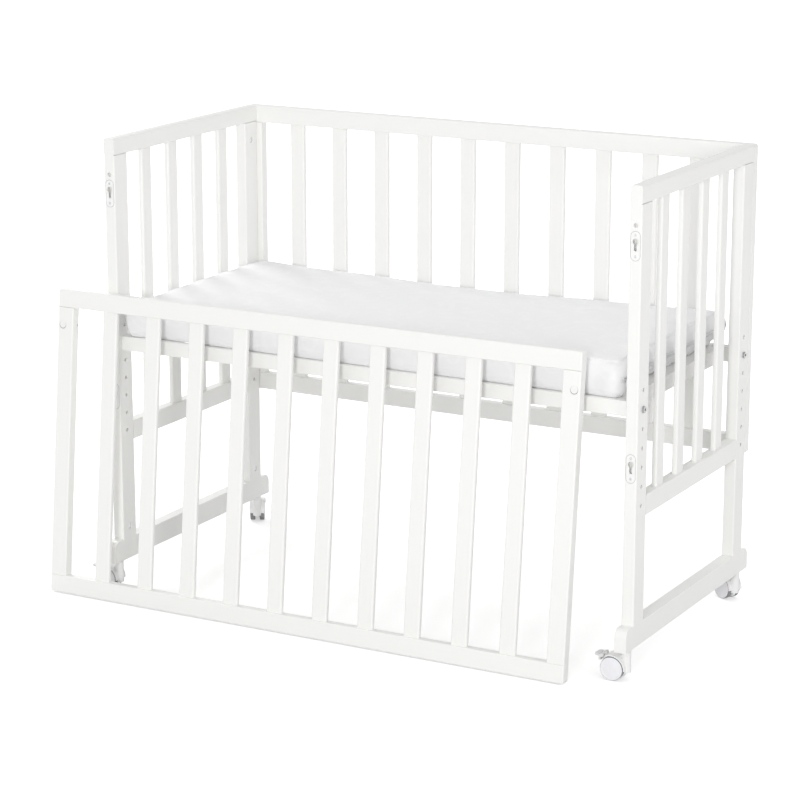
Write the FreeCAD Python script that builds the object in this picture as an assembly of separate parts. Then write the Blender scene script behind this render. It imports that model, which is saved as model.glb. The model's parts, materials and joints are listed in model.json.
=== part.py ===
# Bedside sleeper crib: painted beech frame on four swivelling casters, a rear side that hangs on
# keyhole plates, a front side that lifts off and here leans against the frame, a base that bolts
# on at one of seven heights, and a mattress.
# Millimetres. X runs along the length (right is +), Y to the rear, Z up.
# The frame is built round its own middle. At the end everything moves together, so that the
# origin is on the floor in the middle of the ground that the whole object covers.
import FreeCAD, Part
import math
import os
from FreeCAD import Vector, Rotation, Placement

# ---------------------------------------------------------------- main sizes
frame_length = 950.0        # outside of the two end panels
frame_depth = 440.0         # front face of front posts to rear face of rear posts
frame_height = 764.0        # floor to top of end rails
caster_height = 52.0        # floor to underside of foot beams
panel_height = 511.0        # front and rear sides
panel_thickness = 18.0

# ---------------------------------------------------------------- end panels
wood_thickness = 20.0       # posts, end rails and foot beams, along X
post_depth = 38.0           # posts, along Y
post_round = 2.0
end_rail_height = 28.0
end_rail_round = 3.0
low_rail_height = 32.0
low_rail_over_side = 1.0    # lower edge, over the lower edge of the sides when they hang
low_rail_round = 2.0
end_slat_count = 4
end_slat_width = 28.0
end_slat_thickness = 9.0
tenon_thickness = 8.0
tenon_length = 12.0
tenon_shoulder = 5.0        # bottom end rails, over and under their tenons
post_tenon_width = 22.0
joint_clearance = 0.15      # all round a tenon in its mortise

beam_height = 36.0
beam_overhang = 26.0        # beyond the posts, front and rear
beam_round = 14.0

# ---------------------------------------------------------------- height holes
hole_count = 7
hole_pitch = 30.0
hole_diameter = 6.6
hole_over_low_rail = 20.0   # lowest hole, over the lower edge of the bottom end rails
base_hole_from_top = 2      # the hole row the base is bolted to

# ---------------------------------------------------------------- bolts and nuts
bolt_diameter = 6.0
bolt_head_diameter = 10.5
bolt_head_height = 3.4
bolt_socket = 4.0           # hexagon across flats
bolt_socket_depth = 2.2
bolt_past_nut = 6.0         # end of a bolt beyond the middle of its barrel nut
bolt_sink = 8.0             # foot bolts, seat over the underside of the beam
head_clearance = 0.4        # on the radius, head in its bore
nut_diameter = 10.0
nut_length = 13.0
nut_inset = 1.5             # in from the post's inner face
nut_clearance = 0.1         # on the radius
foot_nut_height = 20.0      # nut centre above the beam
insert_diameter = 8.6
insert_length = 14.0
insert_inset = 0.5
thread_clearance = 0.05     # on the radius, bolt in nut or insert
bolt_clearance = 0.3        # on the radius, bolt in wood
bore_reserve = 1.0          # every bore runs this much beyond what it takes in

# ---------------------------------------------------------------- keyhole hanging
plate_width = 16.0
plate_height = 45.0
plate_thickness = 2.0
plate_low = 82.0            # lower plates, over the lower edge of the sides when they hang
plate_high = 90.0           # upper plates, under the top of the end panels
plate_clearance = 0.1       # all round a plate in its recess
plate_screw_offset = 16.0
plate_screw_hole = 3.2
key_hole_diameter = 9.6
key_hole_above = 6.5        # centre of the round hole over the plate centre
key_slot_width = 4.8
key_slot_below = 5.5        # centre of the slot's end under the plate centre
pocket_depth = 7.0          # behind the plate, for the stud's head
pocket_room = 0.8           # round the stud's head
stud_diameter = 4.4
stud_root = 11.0            # in the stile
stud_head_diameter = 8.6
stud_head_thickness = 2.6
stud_gap = 0.3              # between the plate's inner face and the stud's head
lock_drop = 59.0            # lock bolts, under the top of the end panels
lock_bore_diameter = 7.0
lock_cap_diameter = 13.0
lock_cap_thickness = 2.6
lock_clearance = 0.2        # on the radius, cap in its recess
lock_cap_gap = 0.2          # cap to the stile's face, and to the bottom of its recess
lock_travel = 6.0           # a front lock bolt's way into the post
lock_pin_hole = 4.0         # across the front stiles, from the inner edge
lock_socket_depth = 1.7
coin_slot_length = 9.0
coin_slot_width = 1.4
coin_slot_depth = 0.9

# ---------------------------------------------------------------- sides
side_stile_width = 30.0
side_rail_height = 30.0
side_corner = 5.0
side_round = 2.0
side_slat_count = 10
side_slat_width = 28.0
side_slat_thickness = 9.0
stile_tenon_width = 16.0
slat_round = 3.0
slat_tenon = 10.0
slat_shoulder = 3.0         # each side of a slat's tenon, across its width
slat_cheek = 1.5            # each side of a slat's tenon, across its thickness
side_seat_gap = 0.2         # rear side to the posts

gate_shift = -84.0          # where the removed front side leans
gate_lean = 5.7             # degrees from upright
gate_gap = 0.3              # its top edge to the posts

# ---------------------------------------------------------------- base
base_rail_height = 24.0
base_rail_depth = 20.0
base_rail_round = 1.5
base_end_inset = 14.0       # end rails, in from the posts
base_end_thickness = 18.0
base_tenon_height = 8.0
base_tenon_over = 4.0       # tenon over the underside of the end rails
base_slat_count = 9
base_slat_width = 62.0
base_slat_thickness = 9.0
base_slat_clearance = 0.3   # slat ends to the rails
base_rebate = 9.0           # ledge for the slats in front and rear rail
base_rebate_end = 30.0      # the ledge stops this far from the posts

# ---------------------------------------------------------------- mattress
mattress_side_gap = 7.0     # to the end panels
mattress_front_gap = 5.0    # in from the posts' front faces, and to the rear side
mattress_thickness = 53.0
mattress_crown = 2.5
crown_reach = 120.0         # from the drawn-in edge to the flat middle
mattress_lift = 10.0        # the upper edge curls up this much at the two ends
mattress_corner = 42.0
mattress_bow = 1.5          # each side bulges this much at its middle
mattress_end_draw = 28.0    # how far the lower edge is drawn in at the two ends
mattress_side_draw = 5.0    # the same along front and rear
mattress_draw_top = 18.0    # how far the upper edge is drawn in
mattress_rest_gap = 0.4
zip_height = 6.0
zip_thickness = 1.4
zip_level = 27.0            # over the mattress's underside
zip_gap = 0.5               # tape to the cover
zip_slider_length = 10.0
zip_slider_thickness = 3.6
zip_slider_over = 1.0       # above and below the tape
zip_slider_turn = 22.5      # degrees, its place on the front corner
soft_clearance = 0.4        # tag to the cover
tag_width = 13.0
tag_height = 25.0
tag_level = 2.0             # over the mattress's underside
tag_thickness = 0.8
tag_from_right = 84.0       # tag centre to the inner face of the right end panel

# ---------------------------------------------------------------- casters
wheel_diameter = 38.0
wheel_width = 9.0
wheel_chamfer = 1.8         # outer rim
wheel_spacing = 8.0         # between the two wheels of a caster
wheel_wall = 2.0            # outside the end of the axle
caster_trail = 20.0         # swivel axis to axle
caster_inset = 26.0         # swivel axis in from the beam's end
hood_gap = 1.4
hood_thickness = 2.0
hood_overlap = 0.5          # beyond the wheels' outer faces
hood_stem_end = 182.0       # degrees round the axle, from the side away from the stem
hood_free_end = 20.0
hood_lever_end = 60.0       # free end of a hood with a lever
wheel_room = 0.6            # between a wheel and the web
fin_thickness = 6.0
fin_bottom = 6.5            # over the floor
boss_diameter = 14.4
boss_bottom = 14.0
boss_gap = 1.0              # boss to the socket's flange
axle_diameter = 5.0
stem_diameter = 8.0
stem_bottom = 20.0
stem_length = 28.0          # in the beam
socket_length = 30.0
socket_diameter = 11.0
socket_flange_diameter = 17.0
socket_flange = 1.6
press_clearance = 0.02      # on the radius, socket in beam and stem in boss
swivel_clearance = 0.08     # on the radius, stem in socket
axle_clearance = 0.06       # on the radius, axle in housing
lever_width = 21.0
lever_thickness = 3.2
lever_reach = 12.5
lever_out = 2.8             # pin, outside the hood
lever_turn = 48.0           # degrees, pin's place on the hood, over the horizontal
lever_corner = 5.0
lever_ear = 6.8             # across
lever_neck = 8.0            # ear down to the web
lever_cheek = 6.0           # across
lever_arm = 5.2             # cheeks' arms, out from the pin
lever_pad_start = 1.6
lever_pad_drop = 7.6
lever_stub = 2.75           # pin stubs, in from the cheeks
lever_pin_diameter = 3.0
lever_pin_clearance = 0.06  # on the radius
lever_side_clearance = 0.35
front_caster_turn = 180.0   # degrees, direction the wheels trail in
rear_left_caster_turn = 118.0
rear_right_caster_turn = 152.0

# ---------------------------------------------------------------- worked out
half_length = frame_length / 2.0
half_depth = frame_depth / 2.0
inner_x = half_length - wood_thickness
beam_top = caster_height + beam_height
post_top = frame_height - end_rail_height
post_x = half_length - wood_thickness / 2.0
post_y = half_depth - post_depth / 2.0
side_bottom = frame_height - panel_height
low_rail_bottom = side_bottom + low_rail_over_side
low_rail_top = low_rail_bottom + low_rail_height
hole_levels = [low_rail_bottom + hole_over_low_rail + k * hole_pitch for k in range(hole_count)]
base_level = hole_levels[-base_hole_from_top]
base_low = base_level - base_rail_height / 2.0
base_top = base_level + base_rail_height / 2.0
plate_levels = (side_bottom + plate_low, frame_height - plate_high)
stud_levels = [level - key_slot_below for level in plate_levels]
lock_level = frame_height - lock_drop
nut_start = inner_x + nut_inset
side_gap = (frame_length - 2 * side_stile_width - side_slat_count * side_slat_width) \
    / (side_slat_count + 1)
end_gap = (frame_depth - 2 * post_depth - end_slat_count * end_slat_width) / (end_slat_count + 1)

UP = Vector(0, 0, 1)
REAR = Vector(0, 1, 0)
RIGHT = Vector(1, 0, 0)

os.makedirs("parts", exist_ok=True)


# ---------------------------------------------------------------- shape helpers
def block(x0, x1, y0, y1, z0, z1):
    """A box between two corners."""
    return Part.makeBox(x1 - x0, y1 - y0, z1 - z0, Vector(x0, y0, z0))


def rounded(shape, radius, along):
    """Round the straight edges that run along one direction."""
    edges = []
    for edge in shape.Edges:
        span = edge.Vertexes[-1].Point - edge.Vertexes[0].Point
        if span.Length > 1e-6 and abs(span.dot(along)) > 0.999 * span.Length:
            edges.append(edge)
    return shape.makeFillet(radius, edges)


def rod(radius, length, start, direction):
    """A round bar from a point along a direction."""
    return Part.makeCylinder(radius, length, start, direction)


def hexagon(flats, depth, start, direction):
    """A six-sided bar, for the socket of a bolt's head."""
    corner = flats / math.sqrt(3.0)
    points = [Vector(corner * math.cos(math.radians(60 * k)),
                     corner * math.sin(math.radians(60 * k)), 0) for k in range(7)]
    bar = Part.Face(Part.makePolygon(points)).extrude(Vector(0, 0, depth))
    bar.Placement = Placement(start, Rotation(UP, direction))
    return bar


def mirror_x(shape):
    return shape.mirror(Vector(0, 0, 0), RIGHT)


def mirror_y(shape):
    return shape.mirror(Vector(0, 0, 0), REAR)


def fuse_all(shapes):
    return shapes[0].multiFuse(shapes[1:]) if len(shapes) > 1 else shapes[0]


def cut_all(shape, tools):
    return shape.cut(Part.makeCompound(tools)) if tools else shape


nodes = {}


def save(shape, name):
    """Keep one node for the export at the end; several separate solids are one group."""
    solids = shape.Solids
    nodes[name] = solids[0] if len(solids) == 1 else Part.makeCompound(solids)


def stadium(width, height, depth, centre_x, centre_z, y0):
    """An upright oval bar that runs to the rear from the plane y0."""
    r = width / 2.0
    half = height / 2.0 - r
    left, right = centre_x - r, centre_x + r
    low, high = centre_z - half, centre_z + half
    outline = Part.Wire([
        Part.LineSegment(Vector(left, y0, low), Vector(left, y0, high)).toShape(),
        Part.Arc(Vector(left, y0, high), Vector(centre_x, y0, high + r),
                 Vector(right, y0, high)).toShape(),
        Part.LineSegment(Vector(right, y0, high), Vector(right, y0, low)).toShape(),
        Part.Arc(Vector(right, y0, low), Vector(centre_x, y0, low - r),
                 Vector(left, y0, low)).toShape()])
    return Part.Face(outline).extrude(Vector(0, depth, 0))


def bolt(length, start, direction):
    """A bolt with a round head and a hexagon socket; start is under the head."""
    head = rod(bolt_head_diameter / 2.0, bolt_head_height, start - direction * bolt_head_height,
               direction)
    shank = rod(bolt_diameter / 2.0, length, start, direction)
    socket = hexagon(bolt_socket, bolt_socket_depth, start - direction * bolt_head_height, direction)
    return head.fuse(shank).cut(socket)


def nut_bore(level):
    """Cross bore for a barrel nut, from the inner face of a right-hand post at the front."""
    return rod(nut_diameter / 2.0 + nut_clearance, nut_inset + nut_length + bore_reserve,
               Vector(inner_x, -post_y, level), RIGHT)


def upright(x, y, width, thickness, low, high, wide_along_x, grow=0.0):
    """An upright bar, or with some growth all round, the mortise that it fits in."""
    dx, dy = (width, thickness) if wide_along_x else (thickness, width)
    return block(x - dx / 2.0 - grow, x + dx / 2.0 + grow, y - dy / 2.0 - grow,
                 y + dy / 2.0 + grow, low - grow, high + grow)


def slat_tenons(x, y, width, thickness, low, high, wide_along_x, grow=0.0):
    """Both tenons of a slat that stands between two rails, as one bar through the slat."""
    return upright(x, y, width - 2 * slat_shoulder, thickness - 2 * slat_cheek,
                   low - slat_tenon, high + slat_tenon, wide_along_x, grow)


def slat(x, y, width, thickness, low, high, wide_along_x):
    """An upright slat with rounded long edges and a shouldered tenon at each end."""
    bar = rounded(upright(x, y, width, thickness, low, high, wide_along_x), slat_round, UP)
    return bar.fuse(slat_tenons(x, y, width, thickness, low, high, wide_along_x))


# ---------------------------------------------------------------- posts
def low_rail_tenon(grow=0.0):
    """The bar that makes both tenons of the right bottom end rail, or the mortises for it."""
    return block(post_x - tenon_thickness / 2.0 - grow, post_x + tenon_thickness / 2.0 + grow,
                 -half_depth + post_depth - tenon_length - grow,
                 half_depth - post_depth + tenon_length + grow,
                 low_rail_bottom + tenon_shoulder - grow, low_rail_top - tenon_shoulder + grow)


def front_right_post(with_lock_nut):
    """The front right post; the other three are its mirror images."""
    front_y = -half_depth
    post = rounded(block(inner_x, half_length, front_y, front_y + post_depth,
                         beam_top, post_top), post_round, UP)
    post = post.fuse(upright(post_x, -post_y, post_tenon_width, tenon_thickness,
                             post_top, post_top + tenon_length, False))
    cuts = [rod(hole_diameter / 2.0, wood_thickness, Vector(inner_x, -post_y, level), RIGHT)
            for level in hole_levels]
    for level in plate_levels:
        cuts.append(stadium(plate_width + 2 * plate_clearance, plate_height + 2 * plate_clearance,
                            plate_thickness, post_x, level, front_y))
        middle = level + (key_hole_above - key_slot_below) / 2.0
        pocket_width = stud_head_diameter + 2 * pocket_room
        cuts.append(stadium(pocket_width, key_hole_above + key_slot_below + pocket_width,
                            plate_thickness + pocket_depth, post_x, middle, front_y))
    if with_lock_nut:
        depth = post_depth / 2.0 + bolt_past_nut + bore_reserve
        cuts.append(rod(bolt_diameter / 2.0 + bolt_clearance, depth,
                        Vector(post_x, front_y, lock_level), REAR))
        cuts.append(nut_bore(lock_level))
    else:
        cuts.append(rod(lock_bore_diameter / 2.0, lock_travel,
                        Vector(post_x, front_y, lock_level), REAR))
    cuts.append(low_rail_tenon(joint_clearance))
    cuts.append(rod(bolt_diameter / 2.0 + bolt_clearance,
                    foot_nut_height + bolt_past_nut + bore_reserve,
                    Vector(post_x, -post_y, beam_top), UP))
    cuts.append(nut_bore(beam_top + foot_nut_height))
    return cut_all(post, cuts)


front_post = front_right_post(False)
rear_post = mirror_y(front_right_post(True))
save(front_post, "post_front_right")
save(mirror_x(front_post), "post_front_left")
save(rear_post, "post_rear_right")
save(mirror_x(rear_post), "post_rear_left")

# ---------------------------------------------------------------- end rails and slats
end_slat_y = [-half_depth + post_depth + end_gap + end_slat_width / 2.0
              + k * (end_gap + end_slat_width) for k in range(end_slat_count)]
end_mortises = [slat_tenons(post_x, y, end_slat_width, end_slat_thickness, low_rail_top, post_top,
                            False, joint_clearance) for y in end_slat_y]
post_mortises = [upright(post_x, side * post_y, post_tenon_width, tenon_thickness, post_top,
                         post_top + tenon_length, False, joint_clearance) for side in (-1, 1)]

top_rail = block(inner_x, half_length, -half_depth, half_depth, post_top, frame_height)
top_rail = cut_all(rounded(top_rail, end_rail_round, REAR), end_mortises + post_mortises)
save(top_rail, "end_top_rail_right")
save(mirror_x(top_rail), "end_top_rail_left")

low_rail = rounded(block(inner_x, half_length, -half_depth + post_depth, half_depth - post_depth,
                         low_rail_bottom, low_rail_top), low_rail_round, REAR)
low_rail = cut_all(low_rail.fuse(low_rail_tenon()), end_mortises)
save(low_rail, "end_bottom_rail_right")
save(mirror_x(low_rail), "end_bottom_rail_left")

end_slats = Part.makeCompound([slat(post_x, y, end_slat_width, end_slat_thickness, low_rail_top,
                                    post_top, False) for y in end_slat_y])
save(end_slats, "end_slats_right")
save(mirror_x(end_slats), "end_slats_left")

# ---------------------------------------------------------------- foot beams
beam_end = half_depth + beam_overhang
caster_y = beam_end - caster_inset
beam = block(inner_x, half_length, -beam_end, beam_end, caster_height, beam_top)
corner_edges = [e for e in beam.Edges
                if abs(e.CenterOfMass.z - beam_top) < 1e-6
                and abs(abs(e.CenterOfMass.y) - beam_end) < 1e-6]
beam = beam.makeFillet(beam_round, corner_edges)
beam_cuts = []
for side in (-1, 1):
    beam_cuts.append(rod(socket_diameter / 2.0 + press_clearance, socket_length + bore_reserve,
                         Vector(post_x, side * caster_y, caster_height), UP))
    beam_cuts.append(rod(bolt_diameter / 2.0 + bolt_clearance, beam_height,
                         Vector(post_x, side * post_y, caster_height), UP))
    beam_cuts.append(rod(bolt_head_diameter / 2.0 + head_clearance, bolt_sink,
                         Vector(post_x, side * post_y, caster_height), UP))
beam = cut_all(beam, beam_cuts)
save(beam, "foot_beam_right")
save(mirror_x(beam), "foot_beam_left")


def barrel_nut(sx, y, level, bolt_way):
    """A cross nut in a post, bored for the bolt that reaches it along bolt_way."""
    nut = rod(nut_diameter / 2.0, nut_length, Vector(sx * nut_start, y, level), RIGHT * sx)
    start = Vector(sx * post_x, y, level) - bolt_way * nut_diameter
    return nut.cut(rod(bolt_diameter / 2.0 + thread_clearance, 2 * nut_diameter, start, bolt_way))


foot_bolts, foot_nuts = [], []
for sx in (-1, 1):
    for sy in (-1, 1):
        seat = Vector(sx * post_x, sy * post_y, caster_height + bolt_sink)
        foot_bolts.append(bolt(beam_top + foot_nut_height + bolt_past_nut - seat.z, seat, UP))
        foot_nuts.append(barrel_nut(sx, sy * post_y, beam_top + foot_nut_height, UP))
save(Part.makeCompound(foot_bolts), "foot_bolts")
save(Part.makeCompound(foot_nuts), "foot_barrel_nuts")

# ---------------------------------------------------------------- base
base_y0 = -post_y - base_rail_depth / 2.0
base_y1 = -post_y + base_rail_depth / 2.0
end_rail_x1 = inner_x - base_end_inset
end_rail_x0 = end_rail_x1 - base_end_thickness


def end_rail_tenon(grow=0.0):
    """The bar that makes both tenons of the base's right end rail, or the mortises for it."""
    middle = (end_rail_x0 + end_rail_x1) / 2.0
    low = base_low + base_tenon_over
    return block(middle - tenon_thickness / 2.0 - grow, middle + tenon_thickness / 2.0 + grow,
                 base_y1 - tenon_length - grow, -base_y1 + tenon_length + grow,
                 low - grow, low + base_tenon_height + grow)


base_cuts = [block(-inner_x + base_rebate_end, inner_x - base_rebate_end, base_y1 - base_rebate,
                   base_y1, base_top - base_slat_thickness, base_top),
             end_rail_tenon(joint_clearance), mirror_x(end_rail_tenon(joint_clearance))]
inserts, base_bolts = [], []
for sx in (-1, 1):
    base_cuts.append(rod(insert_diameter / 2.0, insert_inset + insert_length + bore_reserve,
                         Vector(sx * inner_x, -post_y, base_level), RIGHT * -sx))
    for sy in (-1, 1):
        mouth = Vector(sx * (inner_x - insert_inset), sy * post_y, base_level)
        sleeve = rod(insert_diameter / 2.0 - thread_clearance, insert_length, mouth, RIGHT * -sx)
        inserts.append(sleeve.cut(rod(bolt_diameter / 2.0 + thread_clearance, insert_length,
                                      mouth, RIGHT * -sx)))
        base_bolts.append(bolt(wood_thickness + insert_length,
                               Vector(sx * half_length, sy * post_y, base_level), RIGHT * -sx))
front_rail = rounded(block(-inner_x, inner_x, base_y0, base_y1, base_low, base_top),
                     base_rail_round, RIGHT)
front_rail = cut_all(front_rail, base_cuts)
save(front_rail, "base_front_rail")
save(mirror_y(front_rail), "base_rear_rail")
save(Part.makeCompound(inserts), "base_inserts")
save(Part.makeCompound(base_bolts), "base_bolts")

end_bar = block(end_rail_x0, end_rail_x1, base_y1, -base_y1, base_low, base_top)
end_bar = end_bar.fuse(end_rail_tenon())
save(Part.makeCompound([end_bar, mirror_x(end_bar)]), "base_end_rails")

slat_room = 2 * (end_rail_x0 - base_slat_clearance)
slat_pitch = (slat_room - base_slat_width) / (base_slat_count - 1)
slat_y = -base_y1 + base_rebate - base_slat_clearance
base_slats = []
for k in range(base_slat_count):
    left = -slat_room / 2.0 + k * slat_pitch
    base_slats.append(block(left, left + base_slat_width, -slat_y, slat_y,
                            base_top - base_slat_thickness, base_top))
save(Part.makeCompound(base_slats), "base_slats")

# ---------------------------------------------------------------- keyhole plates
plates = []
for level in plate_levels:
    front_y = -half_depth
    plate = stadium(plate_width, plate_height, plate_thickness, post_x, level, front_y)
    plate_cuts = [
        rod(key_hole_diameter / 2.0, plate_thickness,
            Vector(post_x, front_y, level + key_hole_above), REAR),
        stadium(key_slot_width, key_hole_above + key_slot_below + key_slot_width, plate_thickness,
                post_x, level + (key_hole_above - key_slot_below) / 2.0, front_y)]
    for side in (-1, 1):
        plate_cuts.append(rod(plate_screw_hole / 2.0, plate_thickness,
                              Vector(post_x, front_y, level + side * plate_screw_offset), REAR))
    plate = cut_all(plate, plate_cuts)
    plates += [plate, mirror_x(plate), mirror_y(plate), mirror_x(mirror_y(plate))]
save(Part.makeCompound(plates), "keyhole_plates")


# ---------------------------------------------------------------- sides
# A side is built upright with its back on the plane y = 0 and its front towards -Y, its lower
# edge at z = 0 and its middle at x = 0. The front side keeps its studs on the back; the rear
# side is the same piece turned round.
def side_slat_x(k):
    first = -half_length + side_stile_width + side_gap + side_slat_width / 2.0
    return first + k * (side_gap + side_slat_width)


side_middle = -panel_thickness / 2.0
side_low = side_rail_height                     # upper edge of the lower rail
side_high = panel_height - side_rail_height     # lower edge of the upper rail
lock_height = lock_level - side_bottom


def side_slats():
    return [slat(side_slat_x(k), side_middle, side_slat_width, side_slat_thickness,
                 side_low, side_high, True) for k in range(side_slat_count)]


def stile_tenons(grow=0.0):
    """The bar that makes both tenons of the right stile, or the mortises for it."""
    return upright(half_length - side_stile_width / 2.0, side_middle, stile_tenon_width,
                   tenon_thickness, side_low - tenon_length, side_high + tenon_length,
                   True, grow)


def side_rail(top):
    """Upper or lower rail, with mortises for ten slats and two stiles."""
    z0 = side_high if top else 0.0
    rail = block(-half_length, half_length, -panel_thickness, 0, z0, z0 + side_rail_height)
    corner = [e for e in rail.Edges
              if abs(abs(e.CenterOfMass.x) - half_length) < 1e-6
              and abs(e.CenterOfMass.z - (panel_height if top else 0.0)) < 1e-6]
    rail = rail.makeFillet(side_corner, corner)
    long_edges = [e for e in rail.Edges if e.Length > frame_length / 2.0]
    rail = rail.makeFillet(side_round, long_edges)
    mortises = [slat_tenons(side_slat_x(k), side_middle, side_slat_width, side_slat_thickness,
                            side_low, side_high, True, joint_clearance)
                for k in range(side_slat_count)]
    mortises += [stile_tenons(joint_clearance), mirror_x(stile_tenons(joint_clearance))]
    return cut_all(rail, mortises)


def side_stile(removed):
    """Right stile, with its stud holes and the recess for the lock bolt's cap.

    The stile of the side that lifts off has a deeper recess, in which the lock bolt moves, and a
    cross hole for the bolt's catch.
    """
    x0 = half_length - side_stile_width
    stile = rounded(block(x0, half_length, -panel_thickness, 0, side_low, side_high),
                    side_round, UP)
    stile = stile.fuse(stile_tenons())
    cuts = [rod(stud_diameter / 2.0 + thread_clearance, stud_root + bore_reserve,
                Vector(post_x, 0, level - side_bottom), REAR * -1) for level in stud_levels]
    cuts.append(rod(bolt_diameter / 2.0 + lock_clearance, panel_thickness,
                    Vector(post_x, 0, lock_height), REAR * -1))
    behind_cap = lock_travel + bore_reserve if removed else lock_cap_gap
    recess = lock_cap_gap + lock_cap_thickness + behind_cap
    cuts.append(rod(lock_cap_diameter / 2.0 + lock_clearance, recess,
                    Vector(post_x, -panel_thickness, lock_height), REAR))
    if removed:
        pin_y = (recess - panel_thickness) / 2.0
        cuts.append(rod(lock_pin_hole / 2.0, post_x - x0, Vector(x0, pin_y, lock_height), RIGHT))
    return cut_all(stile, cuts)


def side_studs():
    """Four headed studs on the back of a side."""
    neck = plate_thickness + stud_gap + side_seat_gap
    studs = []
    for sx in (-1, 1):
        for level in stud_levels:
            foot = Vector(sx * post_x, 0, level - side_bottom)
            shank = rod(stud_diameter / 2.0, stud_root + neck, foot - REAR * stud_root, REAR)
            head = rod(stud_head_diameter / 2.0, stud_head_thickness, foot + REAR * neck, REAR)
            studs.append(shank.fuse(head))
    return studs


# Rear side: turned about Z so that its back, with the studs, faces the rear posts.
rear_place = Placement(Vector(0, half_depth + side_seat_gap, side_bottom), Rotation(UP, 180))


def placed(shape, place):
    out = shape.copy()
    out.Placement = place.multiply(out.Placement)
    return out


rear_stile = side_stile(False)
save(placed(side_rail(True), rear_place), "rear_top_rail")
save(placed(side_rail(False), rear_place), "rear_bottom_rail")
save(placed(rear_stile, rear_place), "rear_stile_left")
save(placed(mirror_x(rear_stile), rear_place), "rear_stile_right")
save(placed(Part.makeCompound(side_slats()), rear_place), "rear_slats")
save(placed(Part.makeCompound(side_studs()), rear_place), "rear_studs")

rear_bolts, rear_nuts = [], []
for sx in (-1, 1):
    face = half_depth + side_seat_gap + panel_thickness
    seat = Vector(sx * post_x, face - lock_cap_thickness - lock_cap_gap, lock_level)
    cap = rod(lock_cap_diameter / 2.0, lock_cap_thickness, seat, REAR)
    shank = rod(bolt_diameter / 2.0, seat.y - post_y + bolt_past_nut, seat, REAR * -1)
    socket_bottom = seat + REAR * (lock_cap_thickness - lock_socket_depth)
    rear_bolts.append(cap.fuse(shank).cut(hexagon(bolt_socket, lock_socket_depth, socket_bottom,
                                                  REAR)))
    rear_nuts.append(barrel_nut(sx, post_y, lock_level, REAR))
save(Part.makeCompound(rear_bolts), "rear_panel_bolts")
save(Part.makeCompound(rear_nuts), "rear_barrel_nuts")

# Front side, taken off: it stands on the floor and leans back against the left front post.
gate_turn = Rotation(RIGHT, -gate_lean)
rail_probe = placed(side_rail(False), Placement(Vector(0, 0, 0), gate_turn))
top_probe = placed(side_rail(True), Placement(Vector(0, 0, 0), gate_turn))
gate_place = Placement(Vector(gate_shift, -half_depth - gate_gap - top_probe.BoundBox.YMax,
                              -rail_probe.BoundBox.ZMin), gate_turn)
front_stile = side_stile(True)
save(placed(side_rail(True), gate_place), "gate_top_rail")
save(placed(side_rail(False), gate_place), "gate_bottom_rail")
save(placed(front_stile, gate_place), "gate_stile_right")
save(placed(mirror_x(front_stile), gate_place), "gate_stile_left")
save(placed(Part.makeCompound(side_slats()), gate_place), "gate_slats")
save(placed(Part.makeCompound(side_studs()), gate_place), "gate_studs")

# Lock bolts of the front side: the cap lies just under the stile's face, the nose is drawn back.
for sx, name in ((-1, "gate_lock_bolt_left"), (1, "gate_lock_bolt_right")):
    front = Vector(sx * post_x, -panel_thickness + lock_cap_gap, lock_height)
    cap = rod(lock_cap_diameter / 2.0, lock_cap_thickness, front, REAR)
    nose = rod(bolt_diameter / 2.0, panel_thickness - 2 * lock_cap_gap, front, REAR)
    coin_slot = block(front.x - coin_slot_length / 2.0, front.x + coin_slot_length / 2.0,
                      front.y, front.y + coin_slot_depth,
                      front.z - coin_slot_width / 2.0, front.z + coin_slot_width / 2.0)
    save(placed(cap.fuse(nose).cut(coin_slot), gate_place), name)

# ---------------------------------------------------------------- mattress
bed_z = base_top + mattress_rest_gap
bed_x = inner_x - mattress_side_gap
bed_y = half_depth - mattress_front_gap


def bed_outline(end_inset, side_inset, z, corner, lift):
    """A rounded rectangle with gently bowed sides, as a closed wire that rises to its ends."""
    hx, hy = bed_x - end_inset, bed_y - side_inset
    k = corner * (1 - math.sqrt(0.5))
    bow = mattress_bow
    quarter = [(hx, 0), (hx - bow, hy - corner), (hx - k, hy - k), (hx - corner, hy - bow), (0, hy)]
    half = quarter + [(-x, y) for x, y in quarter[-2::-1]]
    whole = half + [(x, -y) for x, y in half[-2::-1]]
    points = [Vector(x, y, z + lift * (x / hx) ** 2) for x, y in whole]
    arcs = []
    for first in range(1, len(points) - 3, 2):
        arcs.append(Part.Arc(*points[first:first + 3]).toShape())
    arcs.append(Part.Arc(points[-2], points[0], points[1]).toShape())
    return Part.Wire(arcs)


rings = []
for turn in (-90, -65, -40, -18, 0, 18, 40, 65, 90):
    angle = math.radians(turn)
    end_draw = mattress_end_draw if turn < 0 else mattress_draw_top
    side_draw = mattress_side_draw if turn < 0 else mattress_draw_top
    drawn = 1 - math.cos(angle)
    share = (1 + math.sin(angle)) / 2.0
    rings.append(bed_outline(end_draw * drawn, side_draw * drawn,
                             bed_z + share * mattress_thickness,
                             mattress_corner - end_draw * drawn / 2.0, share * mattress_lift))
for share in (0.35, 0.7, 1.0):
    inset = mattress_draw_top + share * crown_reach
    rings.append(bed_outline(inset, inset, bed_z + mattress_thickness
                             + mattress_crown * math.sin(share * math.pi / 2),
                             mattress_corner, (1 - share) ** 2 * mattress_lift))
save(Part.makeLoft(rings, True, True), "mattress")

# Zip along the right end, round the front corner; it keeps clear of the cover's bulge.
zip_z = bed_z + zip_level


def zip_ring(offset):
    """Corner points of the zip's path at one distance from the cover."""
    cx, cy = bed_x - mattress_corner, -bed_y + mattress_corner
    r = mattress_corner + offset
    turn = [Vector(cx + r * math.cos(a), cy - r * math.sin(a), zip_z)
            for a in (math.pi / 4, math.radians(zip_slider_turn), 0)]
    return turn + [Vector(cx + r, bed_y - mattress_corner, zip_z)]


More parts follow.
